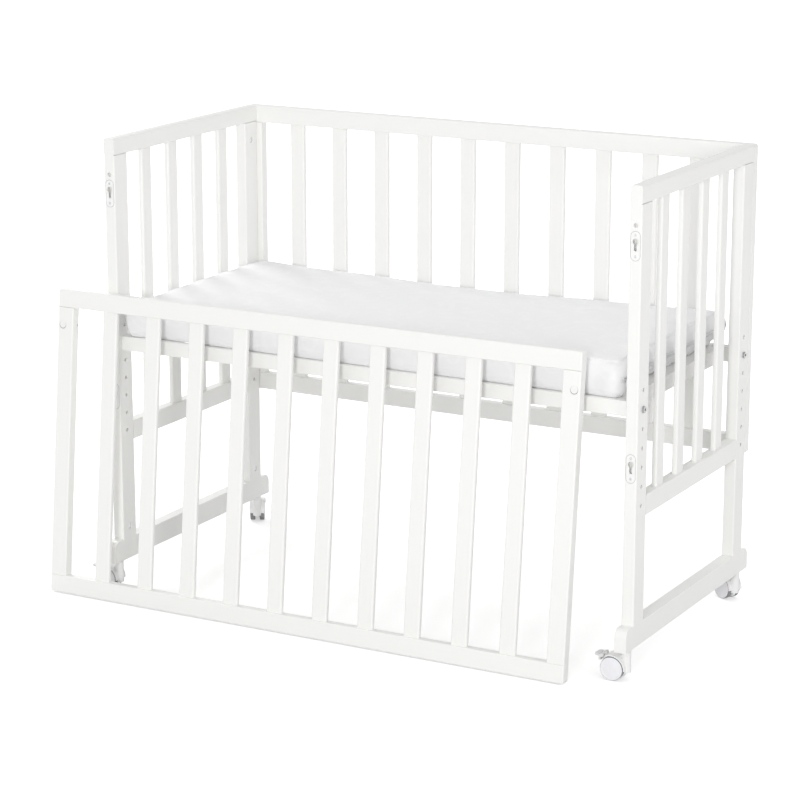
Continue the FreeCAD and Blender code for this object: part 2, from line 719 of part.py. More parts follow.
inner, outer = zip_ring(zip_gap), zip_ring(zip_gap + zip_thickness)
tape = Part.Face(Part.Wire([
    Part.Arc(inner[0], inner[1], inner[2]).toShape(),
    Part.LineSegment(inner[2], inner[3]).toShape(),
    Part.LineSegment(inner[3], outer[3]).toShape(),
    Part.LineSegment(outer[3], outer[2]).toShape(),
    Part.Arc(outer[2], outer[1], outer[0]).toShape(),
    Part.LineSegment(outer[0], inner[0]).toShape()])).extrude(Vector(0, 0, zip_height))
slider = block(-zip_thickness, zip_slider_thickness - zip_thickness, -zip_slider_length / 2.0,
               zip_slider_length / 2.0, -zip_slider_over, zip_height + zip_slider_over)
slider.Placement = Placement(outer[1], Rotation(UP, -zip_slider_turn))
save(tape.fuse(slider), "mattress_zip")

tag_x = inner_x - tag_from_right
tag_y = -bed_y + mattress_bow * (tag_x / (bed_x - mattress_corner)) ** 2 - soft_clearance
tag = block(tag_x - tag_width / 2.0, tag_x + tag_width / 2.0, tag_y - tag_thickness, tag_y,
            bed_z + tag_level, bed_z + tag_level + tag_height)
save(tag, "mattress_tag")


# ---------------------------------------------------------------- casters
# A caster is built with its swivel axis on Z and its wheels trailing towards +X.
wheel_r = wheel_diameter / 2.0
hood_in = wheel_r + hood_gap
hood_out = hood_in + hood_thickness
half_track = wheel_spacing / 2.0 + wheel_width
boss_top = caster_height - socket_flange - boss_gap
lever_x = caster_trail + (hood_out + lever_out) * math.cos(math.radians(lever_turn))
lever_z = wheel_r + (hood_out + lever_out) * math.sin(math.radians(lever_turn))


def across(radius, width, x, z):
    """A round bar along the axle's direction, centred on the caster's middle plane."""
    return rod(radius, width, Vector(x, -width / 2.0, z), REAR)


def caster_housing(braked):
    """Centre web with the hood over both wheels, axle eye and stem boss."""
    wide = 2 * (half_track + hood_overlap)
    ring = across(hood_out, wide, caster_trail, wheel_r)
    ring = ring.cut(across(hood_in, wide, caster_trail, wheel_r))
    # the hood covers the upper part of the wheels, from the stem side to the lever side
    reach = 2 * hood_out
    wedge = [Vector(caster_trail, -wide, wheel_r)]
    for degrees in (hood_lever_end if braked else hood_free_end, 90.0, hood_stem_end):
        a = math.radians(degrees)
        wedge.append(Vector(caster_trail + reach * math.cos(a), -wide, wheel_r + reach * math.sin(a)))
    keep = Part.Face(Part.makePolygon(wedge + wedge[:1])).extrude(REAR * 2 * wide)
    hood = ring.common(keep)
    web = across(hood_in + hood_thickness / 4.0, fin_thickness, caster_trail, wheel_r)
    web = web.common(block(-reach, reach, -wide, wide, fin_bottom, caster_height))
    boss = rod(boss_diameter / 2.0, boss_top - boss_bottom, Vector(0, 0, boss_bottom), UP)
    link = block(0, caster_trail, -fin_thickness / 2.0, fin_thickness / 2.0, boss_bottom,
                 wheel_r + hood_in)
    body = fuse_all([hood, web, boss, link])
    for side in (-1, 1):
        start = Vector(caster_trail, side * (wheel_spacing / 2.0 - wheel_room), wheel_r)
        body = body.cut(rod(wheel_r + hood_gap / 2.0, 2 * wheel_width, start, REAR * side))
    if braked:
        ear = across(lever_ear / 2.0, fin_thickness, lever_x, lever_z)
        neck = block(lever_x - lever_ear, lever_x + lever_ear / 4.0, -fin_thickness / 2.0,
                     fin_thickness / 2.0, lever_z - lever_neck, lever_z)
        neck = neck.common(across(hood_out + lever_ear / 2.0, fin_thickness, caster_trail, wheel_r))
        body = body.fuse(ear.fuse(neck))
        body = body.cut(across(lever_pin_diameter / 2.0 + lever_pin_clearance, wide,
                               lever_x, lever_z))
    body = body.cut(across(axle_diameter / 2.0 + axle_clearance, wide, caster_trail, wheel_r))
    return body.cut(rod(stem_diameter / 2.0 + press_clearance, caster_height,
                        Vector(0, 0, stem_bottom), UP))


def caster_wheels():
    """Two plain discs with a chamfered outer rim, pressed on the axle from both sides."""
    wheels = []
    for side in (-1, 1):
        start = Vector(caster_trail, side * wheel_spacing / 2.0, wheel_r)
        disc = rod(wheel_r, wheel_width, start, REAR * side)
        rim = [e for e in disc.Edges if abs(abs(e.CenterOfMass.y) - half_track) < 1e-6]
        disc = disc.makeChamfer(wheel_chamfer, rim)
        wheels.append(disc.cut(rod(axle_diameter / 2.0, wheel_width - wheel_wall, start,
                                   REAR * side)))
    return Part.makeCompound(wheels)


def caster_axle():
    return across(axle_diameter / 2.0, 2 * (half_track - wheel_wall), caster_trail, wheel_r)


def caster_stem():
    """Steel pin: fast in the housing's boss, turning in the socket."""
    return rod(stem_diameter / 2.0, caster_height + stem_length - stem_bottom,
               Vector(0, 0, stem_bottom), UP)


def caster_lever():
    """Foot lever: a plate with two cheeks round the ear, stub pins and a pad for each wheel."""
    cheek_in = fin_thickness / 2.0 + lever_side_clearance
    half = lever_width / 2.0
    low, high = lever_z - lever_thickness / 2.0, lever_z + lever_thickness / 2.0
    plate = block(lever_x + lever_ear / 2.0 + wheel_room, lever_x + lever_reach, -half, half,
                  low, high)
    tip = [e for e in plate.Edges if abs(e.CenterOfMass.x - (lever_x + lever_reach)) < 1e-6
           and abs(e.CenterOfMass.z - lever_z) < 1e-6]
    pieces = [plate.makeFillet(lever_corner, tip)]
    for side in (-1, 1):
        left, right = sorted((side * cheek_in, side * half))
        inside = Vector(lever_x, side * cheek_in, lever_z)
        pieces += [
            rod(lever_cheek / 2.0, half - cheek_in, inside, REAR * side),
            block(lever_x, lever_x + lever_arm, left, right, low, high),
            block(lever_x + lever_pad_start, lever_x + lever_arm, left, right,
                  lever_z - lever_pad_drop, lever_z),
            rod(lever_pin_diameter / 2.0, lever_stub, inside, REAR * -side)]
    return fuse_all(pieces)


def socket():
    """Sleeve with a flange, pressed into the beam."""
    sleeve = rod(socket_diameter / 2.0, socket_length, Vector(0, 0, caster_height), UP)
    flange = rod(socket_flange_diameter / 2.0, socket_flange,
                 Vector(0, 0, caster_height - socket_flange), UP)
    bore = rod(stem_diameter / 2.0 + swivel_clearance, socket_flange + socket_length,
               Vector(0, 0, caster_height - socket_flange), UP)
    return sleeve.fuse(flange).cut(bore)


caster_spots = {
    "front_left": (-1, -1, front_caster_turn, True),
    "front_right": (1, -1, front_caster_turn, True),
    "rear_left": (-1, 1, rear_left_caster_turn, False),
    "rear_right": (1, 1, rear_right_caster_turn, False),
}
sockets = []
for corner_name, (sx, sy, turn, braked) in caster_spots.items():
    spot = Placement(Vector(sx * post_x, sy * caster_y, 0), Rotation(UP, turn))
    save(placed(caster_housing(braked), spot), "caster_housing_" + corner_name)
    save(placed(caster_wheels(), spot), "caster_wheels_" + corner_name)
    save(placed(caster_axle(), spot), "caster_axle_" + corner_name)
    save(placed(caster_stem(), spot), "caster_stem_" + corner_name)
    if braked:
        save(placed(caster_lever(), spot), "brake_lever_" + corner_name)
    sockets.append(placed(socket(), spot))
save(Part.makeCompound(sockets), "caster_sockets")

# ---------------------------------------------------------------- origin and export
whole = FreeCAD.BoundBox()
for shape in nodes.values():
    whole.add(shape.BoundBox)
origin = Vector((whole.XMin + whole.XMax) / 2.0, (whole.YMin + whole.YMax) / 2.0, whole.ZMin)
for name, shape in nodes.items():
    shape.translate(origin * -1)
    shape.exportStep("parts/" + name + ".step")
print("origin in the frame's own coordinates:", [round(v, 3) for v in origin])
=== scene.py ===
import json
import math

import bmesh
import bpy
import numpy as np
from mathutils import Matrix, Vector
from mathutils.bvhtree import BVHTree


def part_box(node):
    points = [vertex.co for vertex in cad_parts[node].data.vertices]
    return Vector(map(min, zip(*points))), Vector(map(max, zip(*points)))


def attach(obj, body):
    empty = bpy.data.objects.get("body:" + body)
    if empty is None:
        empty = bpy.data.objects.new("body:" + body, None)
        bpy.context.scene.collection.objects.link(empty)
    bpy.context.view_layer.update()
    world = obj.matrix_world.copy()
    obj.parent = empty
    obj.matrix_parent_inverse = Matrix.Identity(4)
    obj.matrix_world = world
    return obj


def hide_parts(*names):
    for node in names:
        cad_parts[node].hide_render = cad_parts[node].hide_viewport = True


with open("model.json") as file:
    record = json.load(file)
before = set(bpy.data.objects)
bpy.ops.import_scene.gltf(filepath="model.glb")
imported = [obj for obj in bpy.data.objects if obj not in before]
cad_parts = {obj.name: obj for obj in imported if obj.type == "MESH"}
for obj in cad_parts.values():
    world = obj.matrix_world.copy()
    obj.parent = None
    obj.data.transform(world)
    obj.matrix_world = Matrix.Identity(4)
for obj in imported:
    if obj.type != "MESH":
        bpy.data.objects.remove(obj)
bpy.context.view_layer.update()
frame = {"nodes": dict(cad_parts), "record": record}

nodes = frame["nodes"]
corners = ("front_left", "front_right", "rear_left", "rear_right")


# ---------------------------------------------------------------- lacquered wood
# Posts, rails, stiles, slats and foot beams are beech, sprayed with an opaque white lacquer.
# The grain still telegraphs as faint lines along each piece, and the spray leaves a fine
# orange peel that breaks up the reflections.
lacquer_white = (0.900, 0.898, 0.880, 1)
lacquer_shade = (0.886, 0.884, 0.864, 1)


def add(tree, kind, inputs=None, **settings):
    """Add a shader or geometry node; an input is a value or another node's output."""
    made = tree.nodes.new(kind)
    for key, value in settings.items():
        setattr(made, key, value)
    for key, value in (inputs or {}).items():
        if isinstance(value, bpy.types.NodeSocket):
            tree.links.new(value, made.inputs[key])
        else:
            made.inputs[key].default_value = value
    return made


def new_finish(name, roughness, **constants):
    """A material with one Principled shader; returns it, its tree, and the place on the piece."""
    material = bpy.data.materials.new(name)
    material.use_nodes = True
    tree = material.node_tree
    for key, value in {"Roughness": roughness, **constants}.items():
        tree.nodes["Principled BSDF"].inputs[key.replace("_", " ")].default_value = value
    return material, tree, add(tree, "ShaderNodeTexCoord").outputs["Object"]


def wire(tree, colour, roughness, normal):
    """Link a material's shader to the sockets that drive it; None leaves one as it is."""
    shader = tree.nodes["Principled BSDF"]
    for key, socket in (("Base Color", colour), ("Roughness", roughness), ("Normal", normal)):
        if socket is not None:
            tree.links.new(socket, shader.inputs[key])


def noise(tree, place, scale, detail, **more):
    """A noise's value; further inputs are given by name."""
    return add(tree, "ShaderNodeTexNoise", {"Vector": place, "Scale": scale, "Detail": detail,
                                            **more}).outputs["Fac"]


def mix_colours(tree, factor, low, high, start=0.35, end=0.65):
    """A colour that runs from low to high as the factor goes from start to end."""
    ramp = add(tree, "ShaderNodeValToRGB", {"Fac": factor})
    ramp.color_ramp.elements[0].position = start
    ramp.color_ramp.elements[0].color = low
    ramp.color_ramp.elements[1].position = end
    ramp.color_ramp.elements[1].color = high
    return ramp.outputs["Color"]


def span(tree, value, low, high):
    """A value from 0 to 1, mapped to the span from low to high, either a number or a node's."""
    return add(tree, "ShaderNodeMapRange", {"Value": value, "To Min": low, "To Max": high}
               ).outputs["Result"]


def bump(tree, height, distance, strength, below=None):
    """A normal that follows a height, over a normal below where one is given."""
    inputs = {"Height": height, "Distance": distance, "Strength": strength}
    if below:
        inputs["Normal"] = below
    return add(tree, "ShaderNodeBump", inputs).outputs["Normal"]


def lacquered_wood(name, stretch, tilt=0.0):
    """White lacquer over wood whose grain is stretched along one direction."""
    material, tree, place = new_finish(name, 0.4, Coat_Weight=0.12, Coat_Roughness=0.25)
    along = add(tree, "ShaderNodeMapping", {"Vector": place, "Rotation": (tilt, 0, 0),
                                            "Scale": stretch}).outputs["Vector"]
    grain = noise(tree, along, 1.0, 4.0, Roughness=0.6, Distortion=0.6)
    cloud, peel = noise(tree, place, 11.0, 2.0), noise(tree, place, 650.0, 1.0)
    relief = bump(tree, peel, 0.00005, 0.5, bump(tree, grain, 0.00022, 0.7))
    wire(tree, mix_colours(tree, grain, lacquer_shade, lacquer_white, 0.22, 0.46),
         span(tree, cloud, 0.34, 0.50), relief)
    return material


def give(material, *names):
    """Put a material on CAD nodes that stay as they are."""
    for name in names:
        for place in nodes[name].material_slots:
            place.material = material


gate_lean = math.radians(5.7)
grain_across, grain_along = 420.0, 9.0
wood_x = lacquered_wood("lacquer_grain_x", (grain_along, grain_across, grain_across))
wood_y = lacquered_wood("lacquer_grain_y", (grain_across, grain_along, grain_across))
wood_z = lacquered_wood("lacquer_grain_z", (grain_across, grain_across, grain_along))
wood_gate = lacquered_wood("lacquer_grain_gate", (grain_across, grain_across, grain_along),
                           gate_lean)
give(wood_y, "foot_beam_left", "foot_beam_right", "end_top_rail_left", "end_top_rail_right",
     "end_bottom_rail_left", "end_bottom_rail_right")
give(wood_z, "end_slats_left", "end_slats_right", *("post_" + c for c in corners))


# ---------------------------------------------------------------- base under the mattress
# A front and a rear rail with rebates carry nine cross slats; two end rails join them. All of
# it is beech with the same white lacquer.
give(wood_x, "base_front_rail", "base_rear_rail")
give(wood_y, "base_end_rails", "base_slats")


# ---------------------------------------------------------------- bolts, nuts and inserts
# Socket-head bolts with a dull nickel finish hold the base in the second row of holes and the
# foot beams on the posts. Barrel nuts, inserts, studs and caster pins are zinc-plated steel.
def metal(name, colour, wear_and_gap_shade, rough_low, rough_high):
    """Metal with a cloudy finish and fine turning marks."""
    material, tree, place = new_finish(name, rough_low, Metallic=1.0)
    cloud, fine = noise(tree, place, 260.0, 4.0), noise(tree, place, 2400.0, 2.0)
    wire(tree, mix_colours(tree, cloud, colour, wear_and_gap_shade, 0.3, 0.75),
         span(tree, cloud, rough_low, rough_high), bump(tree, fine, 0.00004, 0.5))
    return material


dull_nickel = metal("dull_nickel", (0.36, 0.36, 0.365, 1), (0.52, 0.52, 0.525, 1), 0.22, 0.4)
zinc = metal("zinc_plate", (0.62, 0.63, 0.65, 1), (0.72, 0.72, 0.73, 1), 0.26, 0.42)
give(dull_nickel, "base_bolts", "foot_bolts")
give(zinc, "foot_barrel_nuts", "rear_barrel_nuts", "base_inserts", "rear_studs", "gate_studs",
     "caster_sockets", *("caster_stem_" + c for c in corners),
     *("caster_axle_" + c for c in corners))


# ---------------------------------------------------------------- keyhole plates
# White powder-coated steel plates, let flush into the posts. Each hangs one headed stud of a
# side, and is held by two small cross-head screws.
def powder_coat(name, edge=None):
    """White powder coat; where an edge mask is given, the coat is painted grey along it, as painted
    shade for the shadow in the gap round the part.
    """
    material, tree, place = new_finish(name, 0.42, Coat_Weight=0.1)
    pebble = noise(tree, place, 1500.0, 2.0)
    tone = mix_colours(tree, pebble, (0.875, 0.875, 0.865, 1), (0.905, 0.905, 0.895, 1))
    if edge:
        # painted shade: the coat turns grey along the mask, for the shadow in the gap round the
        # part
        wear_and_gap_shade = add(tree, "ShaderNodeMix", {"Factor": edge(tree, place), "A": tone,
                                           "B": (0.45, 0.45, 0.44, 1)}, data_type="RGBA")
        tone = wear_and_gap_shade.outputs["Result"]
    wire(tree, tone, span(tree, pebble, 0.34, 0.5), bump(tree, pebble, 0.00006, 0.6))
    return material


def plate_gap_shade(tree, place):
    """1 within half a millimetre of a plate's outline, where painted shade stands for the shadow in
    the gap round the plate, and 0 further in; the plates lie alike about the middle of the crib,
    left and right, low and high."""
    def sums(operation, first, second=0.0):
        return add(tree, "ShaderNodeMath", {0: first, 1: second}, operation=operation).outputs[0]
    parts = add(tree, "ShaderNodeSeparateXYZ", {"Vector": place})
    away = []
    for axis, centre, spread in (("X", plates_middle.x, plates_apart.x),
                                 ("Z", plates_middle.z, plates_apart.z)):
        side = sums("ABSOLUTE", sums("SUBTRACT", parts.outputs[axis], centre))
        away.append(sums("ABSOLUTE", sums("SUBTRACT", side, spread)))
    past_straight = sums("MAXIMUM", sums("SUBTRACT", away[1],
                                         plate_half_height - plate_half_width), 0.0)
    reach = sums("SQRT", sums("ADD", sums("POWER", away[0], 2.0),
                              sums("POWER", past_straight, 2.0)))
    return sums("GREATER_THAN", reach, plate_half_width - plate_rim)


plate_half_width, plate_half_height, plate_rim = 0.008, 0.0225, 0.00055
low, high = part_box("keyhole_plates")
plates_middle = (low + high) / 2
plates_apart = (high - low) / 2 - Vector((plate_half_width, 0, plate_half_height))
powder = powder_coat("white_powder_coat")
# The plates' coat is painted grey in a thin band round each outline: painted shade for the gap
# round the plate.
give(powder_coat("plate_powder_coat", plate_gap_shade), "keyhole_plates")


# ---------------------------------------------------------------- keyhole plate screws
# Sixteen countersunk cross-head screws of 3 mm hold the plates, two on each. Their heads end
# flush with the plates.
screw_radius, screw_crown, screw_sides = 0.0029, 0.00014, 24
screw_neck, neck_depth = 0.0015, 0.0014
head_sunk, head_bevel = 0.00012, 0.0004
cross_reach, cross_half, cross_depth, cross_taper = 0.0017, 0.00042, 0.0012, 0.6
screw_offset = 0.016         # from the middle of a plate, up and down


def link_piece(name, mesh, material=None, smooth=True):
    """Link a mesh to the scene as a piece at the origin."""
    piece = bpy.data.objects.new(name, mesh)
    bpy.context.scene.collection.objects.link(piece)
    if material:
        mesh.materials.clear()
        mesh.materials.append(material)
    mesh.shade_smooth() if smooth else mesh.shade_flat()
    return piece


def plain_mesh(piece, name):
    """The evaluated mesh of a piece with modifiers, as a mesh of its own."""
    graph = bpy.context.evaluated_depsgraph_get()
    made = bpy.data.meshes.new_from_object(piece.evaluated_get(graph))
    made.name = name
    return made


def bake(piece):
    """Keep what a piece's modifiers make as its plain mesh."""
    piece.data = plain_mesh(piece, piece.name)
    piece.modifiers.clear()


def repeat_tree(name, **sockets):
    """A geometry tree with named inputs; each is a socket kind and its usual value."""
    tree = bpy.data.node_groups.new(name, "GeometryNodeTree")
    tree.interface.new_socket("Geometry", in_out="INPUT", socket_type="NodeSocketGeometry")
    for label, (kind, value) in sockets.items():
        made = tree.interface.new_socket(label, in_out="INPUT",
                                         socket_type="NodeSocket" + kind)
        if value is not None:
            made.default_value = value
    tree.interface.new_socket("Geometry", in_out="OUTPUT", socket_type="NodeSocketGeometry")
    return tree, tree.nodes.new("NodeGroupInput")


def end_tree(tree, instances, material):
    """Realize the instances, set their material and hand them out."""
    real = add(tree, "GeometryNodeRealizeInstances", {"Geometry": instances}).outputs[0]
    done = add(tree, "GeometryNodeSetMaterial", {"Geometry": real, "Material": material})
    tree.links.new(done.outputs[0], tree.nodes.new("NodeGroupOutput").inputs[0])


def grown(piece, tree, smooth=True, **values):
    """Run a geometry tree on a piece and keep what it makes as the piece's plain mesh."""
    modifier = piece.modifiers.new(tree.name, "NODES")
    modifier.node_group = tree
    for item in tree.interface.items_tree:
        if item.in_out == "INPUT" and item.name in values:
            modifier[item.identifier] = values[item.name]
    bake(piece)
    piece.data.shade_smooth() if smooth else piece.data.shade_flat()


def ring(shape, radius, height):
    """A loop of points round a screw's axis."""
    turns = [2 * math.pi * i / screw_sides for i in range(screw_sides)]
    return [shape.verts.new((radius * math.cos(a), radius * math.sin(a), height)) for a in turns]


def bridge(shape, below, above):
    """Faces between two loops with as many points each."""
    for i in range(len(below)):
        j = (i + 1) % len(below)
        shape.faces.new((below[i], below[j], above[j], above[i]))


shape = bmesh.new()
loops = [ring(shape, screw_neck, -neck_depth), ring(shape, screw_radius, -head_sunk),
         ring(shape, screw_radius - head_bevel, screw_crown)]
shape.faces.new(loops[0])
bridge(shape, loops[0], loops[1])
bridge(shape, loops[1], loops[2])
quarter = [(cross_reach, -cross_half), (cross_reach, cross_half), (cross_half, cross_half)]
outline = []
for c, s in ((1, 0), (0, 1), (-1, 0), (0, -1)):
    outline += [(c * x - s * y, s * x + c * y) for x, y in quarter]
mouth = [shape.verts.new((x, y, screw_crown)) for x, y in outline]
floor_loop = [shape.verts.new((cross_taper * x, cross_taper * y, screw_crown - cross_depth))
              for x, y in outline]
rim = [shape.edges.get((a, b)) or shape.edges.new((a, b))
       for loop in (loops[2], mouth) for a, b in zip(loop, loop[1:] + loop[:1])]
bmesh.ops.triangle_fill(shape, edges=rim, use_beauty=True)
bridge(shape, mouth, floor_loop)
shape.faces.new(floor_loop)
bmesh.ops.triangulate(shape, faces=shape.faces[:])
bmesh.ops.recalc_face_normals(shape, faces=shape.faces[:])
head_mesh = bpy.data.meshes.new("screw_head")
shape.to_mesh(head_mesh)
shape.free()
screw_head = link_piece("screw_head", head_mesh, smooth=False)

spots, facings = [], []
for y, facing in ((low.y, -1), (high.y, 1)):
    for x in (low.x + plate_half_width, high.x - plate_half_width):
        for z in (low.z + plate_half_height, high.z - plate_half_height):
            for offset in (-screw_offset, screw_offset):
                spots.append((x, y, z + offset))
                facings.append((0, facing, 0))
screw_points = bpy.data.meshes.new("keyhole_plate_screws")
screw_points.from_pydata(spots, [], [])
screw_points.attributes.new("facing", "FLOAT_VECTOR", "POINT").data.foreach_set(
    "vector", np.array(facings, dtype=float).ravel())

tree, given = repeat_tree("screws_on_plates", Head=("Object", None), Seed=("Int", 0))
facing = add(tree, "GeometryNodeInputNamedAttribute", {"Name": "facing"},
             data_type="FLOAT_VECTOR").outputs["Attribute"]
out_of_wood = add(tree, "FunctionNodeAlignRotationToVector", {"Vector": facing}, axis="Z")
turned = add(tree, "FunctionNodeRandomValue", {"Seed": given.outputs["Seed"]},
             data_type="FLOAT")
turned.inputs[3].default_value = math.pi / 2
about = add(tree, "FunctionNodeAxisAngleToRotation", {"Angle": turned.outputs[1]})
placed = add(tree, "FunctionNodeRotateRotation", {0: out_of_wood.outputs[0],
                                                  1: about.outputs[0]},
             rotation_space="LOCAL")
head = add(tree, "GeometryNodeObjectInfo", {"Object": given.outputs["Head"]})
points = add(tree, "GeometryNodeMeshToPoints", {"Mesh": given.outputs["Geometry"]})
heads = add(tree, "GeometryNodeInstanceOnPoints",
            {"Points": points.outputs[0], "Instance": head.outputs["Geometry"],
             "Rotation": placed.outputs[0]})
end_tree(tree, heads.outputs[0], zinc)
screws = link_piece("keyhole_plate_screws", screw_points)
grown(screws, tree, smooth=False, Head=screw_head, Seed=4)
bpy.data.objects.remove(screw_head)
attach(screws, "crib_frame")


# ---------------------------------------------------------------- rear side and front side
# Two equal sides: two rails, two stiles and ten slats each. The rear one hangs on the rear
# posts; the front one is off and leans against the front posts, so its grain leans too.
def lock_gap_shade(tree, place):
    """1 on the rim of a lock bolt's round head, which follows the leaning gate's axis; there the
    coat is painted grey, as painted shade for the gap round the head.
    """
    away = add(tree, "ShaderNodeVectorMath", {0: place, 1: lock_middle}, operation="SUBTRACT")
    aside = add(tree, "ShaderNodeVectorMath", {
        0: away.outputs[0], 1: (0, math.cos(gate_lean), -math.sin(gate_lean))},
        operation="CROSS_PRODUCT")
    reach = add(tree, "ShaderNodeVectorMath", {0: aside.outputs[0]}, operation="LENGTH")
    return add(tree, "ShaderNodeMath", {0: reach.outputs["Value"], 1: lock_head - lock_rim},
               operation="GREATER_THAN").outputs[0]


give(wood_x, "rear_top_rail", "rear_bottom_rail", "gate_top_rail", "gate_bottom_rail")
give(wood_z, "rear_stile_left", "rear_stile_right", "rear_slats")
give(wood_gate, "gate_stile_left", "gate_stile_right", "gate_slats")
give(powder, "rear_panel_bolts")
lock_head, lock_rim = 0.0065, 0.0006
for side in ("left", "right"):
    low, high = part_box("gate_lock_bolt_" + side)
    lock_middle = (low + high) / 2
    # Each lock bolt's coat gets a ring of painted shade round its head.
    give(powder_coat("lock_powder_coat_" + side, lock_gap_shade), "gate_lock_bolt_" + side)


# ---------------------------------------------------------------- mattress
# A slim foam mattress in a white jersey cover with a faint tone-on-tone pattern. The top
# panel is sewn to a side band, which stands nearly upright at the front and wrinkles where
# the cover is drawn round the ends.
cover_inset = 0.004          # the sewn cover before the foam fills it
cover_puff = 0.006           # most that a point may move while it fills
cover_proud = 0.0025         # most that the cover stands out from the foam
cover_voxel, form_voxel = 0.0062, 0.004
seam_inset = 0.013           # the seam lies this far inside the widest outline
seam_depth, seam_half_width = 0.0020, 0.0032
seam_band, seam_pull = 0.004, 0.0015         # the sewn strip, and how much less it lies in
pucker_height, pucker_reach = 0.0005, 0.010
swell_height = 0.0009
edge_sunk, corner_sunk = 0.0004, 0.0008      # the cover's edges lie no deeper in the foam
sunk_elsewhere = 0.006
pressed = 0.006              # the mattress's weight flattens this much of its lower edge
foam_corner, foam_draw = 0.042, 0.028        # the CAD solid's upright corners and lower ends
corner_left, corner_right = 0.009, 0.024     # the filled cover squares the foam's corners
draw_left, draw_right, draw_corner = 0.008, 0.026, 0.004
left_reach = 0.0045          # the left end is pushed towards the post
push_start, push_full = 0.1, 0.06            # from the middle, and from the left end
# Where each change starts and is full: from an end, from the front, and up the side.
slope_band, fold_band, corner_band = (0.12, 0.03), (0.055, 0.012), (0.055, 0.015)
slope_front, fold_front = (0.02, 0.08), (0.01, 0.06)
fold_rise, fold_fall, top_rise = (0.04, 0.16), (0.50, 0.72), (0.75, 0.95)   # shares of the height
corner_top, edge_top = (0.024, 0.008), (0.006, 0.012)
mattress_high = 0.053
fold_pitch, fold_height, fold_left = 0.0085, 0.0008, 0.3
crease_count, crease_seed, crease_bend = 26, 7, 0.12
low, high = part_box("mattress")
middle = (low + high) / 2
half = (high - low) / 2


def plan_inset(x, y):
    """Distance inside the mattress's outline, seen from above."""
    corner = np.where(x < middle.x, corner_left, corner_right)
    px = np.abs(x - middle.x) - (half.x - corner)
    py = np.abs(y - middle.y) - (half.y - corner)
    outside = np.hypot(np.maximum(px, 0), np.maximum(py, 0))
    return corner - outside - np.minimum(np.maximum(px, py), 0)


def eased(value, start, end):
    """0 up to start, 1 from end, and a soft rise between."""
    share = np.clip((value - start) / (end - start), 0, 1)
    return share * share * (3 - 2 * share)


def drawn_cover(point):
    """The foam's form as the cover draws it: the ends slope in below the zip, except near the
    front, and the upright corners are squared."""
    x, y, z = point.T
    left = x < middle.x
    rise = np.clip((z - low.z) / mattress_high, 0, 1)
    foam_in = np.where(rise < 0.5, foam_draw * (1 - np.sqrt(1 - (2 * rise - 1) ** 2)), 0)
    draw = draw_corner + (np.where(left, draw_left, draw_right) - draw_corner) * eased(
        y, low.y + slope_front[0], low.y + slope_front[1])
    near_end = eased(np.abs(x - middle.x), half.x - slope_band[0], half.x - slope_band[1])
    x = x + np.where(left, -1, 1) * near_end * (foam_in - draw * np.clip(1 - 2 * rise, 0, 1))
    x = x - np.where(left, left_reach, 0) * eased(middle.x - x, push_start,
                                                  half.x - push_full)
    px = np.abs(x - middle.x) - (half.x - foam_corner)
    py = np.abs(y - middle.y) - (half.y - foam_corner)
    turn = np.arctan2(np.maximum(py, 1e-9), np.maximum(px, 1e-9))
    steep, shallow = np.maximum(np.cos(turn), np.sin(turn)), np.minimum(np.cos(turn), np.sin(turn))
    corner = np.where(left, corner_left, corner_right)
    shift = foam_corner - corner
    along = shift * (steep + shallow)
    on_round = along + np.sqrt(np.maximum(along ** 2 - 2 * shift ** 2 + corner ** 2, 0))
    on_straight = foam_corner * shallow <= shift * steep
    reach = np.where(on_straight, foam_corner / steep, on_round)
    grow = np.where((px > 0) & (py > 0), reach / foam_corner - 1, 0)
    x = x + np.where(left, -1, 1) * np.maximum(px, 0) * grow
    y = y + np.sign(y - middle.y) * np.maximum(py, 0) * grow
    return np.stack((x, y, z), axis=1)


def read_points(mesh, what="co"):
    """A mesh's points, or their normals, as rows of three."""
    flat = np.empty(len(mesh.vertices) * 3)
    mesh.vertices.foreach_get(what, flat)
    return flat.reshape(-1, 3)


def move_points(mesh, point):
    mesh.vertices.foreach_set("co", point.ravel())
    mesh.update()


welded = bmesh.new()
welded.from_mesh(nodes["mattress"].data)
bmesh.ops.remove_doubles(welded, verts=welded.verts, dist=1e-5)
foam_mesh = bpy.data.meshes.new("foam")
welded.to_mesh(foam_mesh)
welded.free()
cover = link_piece("mattress_cover", foam_mesh)
remesh = cover.modifiers.new("even_quads", "REMESH")
remesh.mode = "VOXEL"
remesh.voxel_size = form_voxel
form_mesh = plain_mesh(cover, "cover_form")
foam = BVHTree.FromPolygons(drawn_cover(read_points(form_mesh)).tolist(),
                            [face.vertices[:] for face in form_mesh.polygons])
remesh.voxel_size = cover_voxel
bake(cover)
move_points(cover.data, drawn_cover(read_points(cover.data)))

start = read_points(cover.data)
on_seam = np.exp(-((plan_inset(start[:, 0], start[:, 1]) - seam_inset) / seam_band) ** 2)
on_seam *= start[:, 2] > middle.z
start = start - read_points(cover.data, "normal") * (cover_inset - seam_pull * on_seam)[:, None]
move_points(cover.data, start)

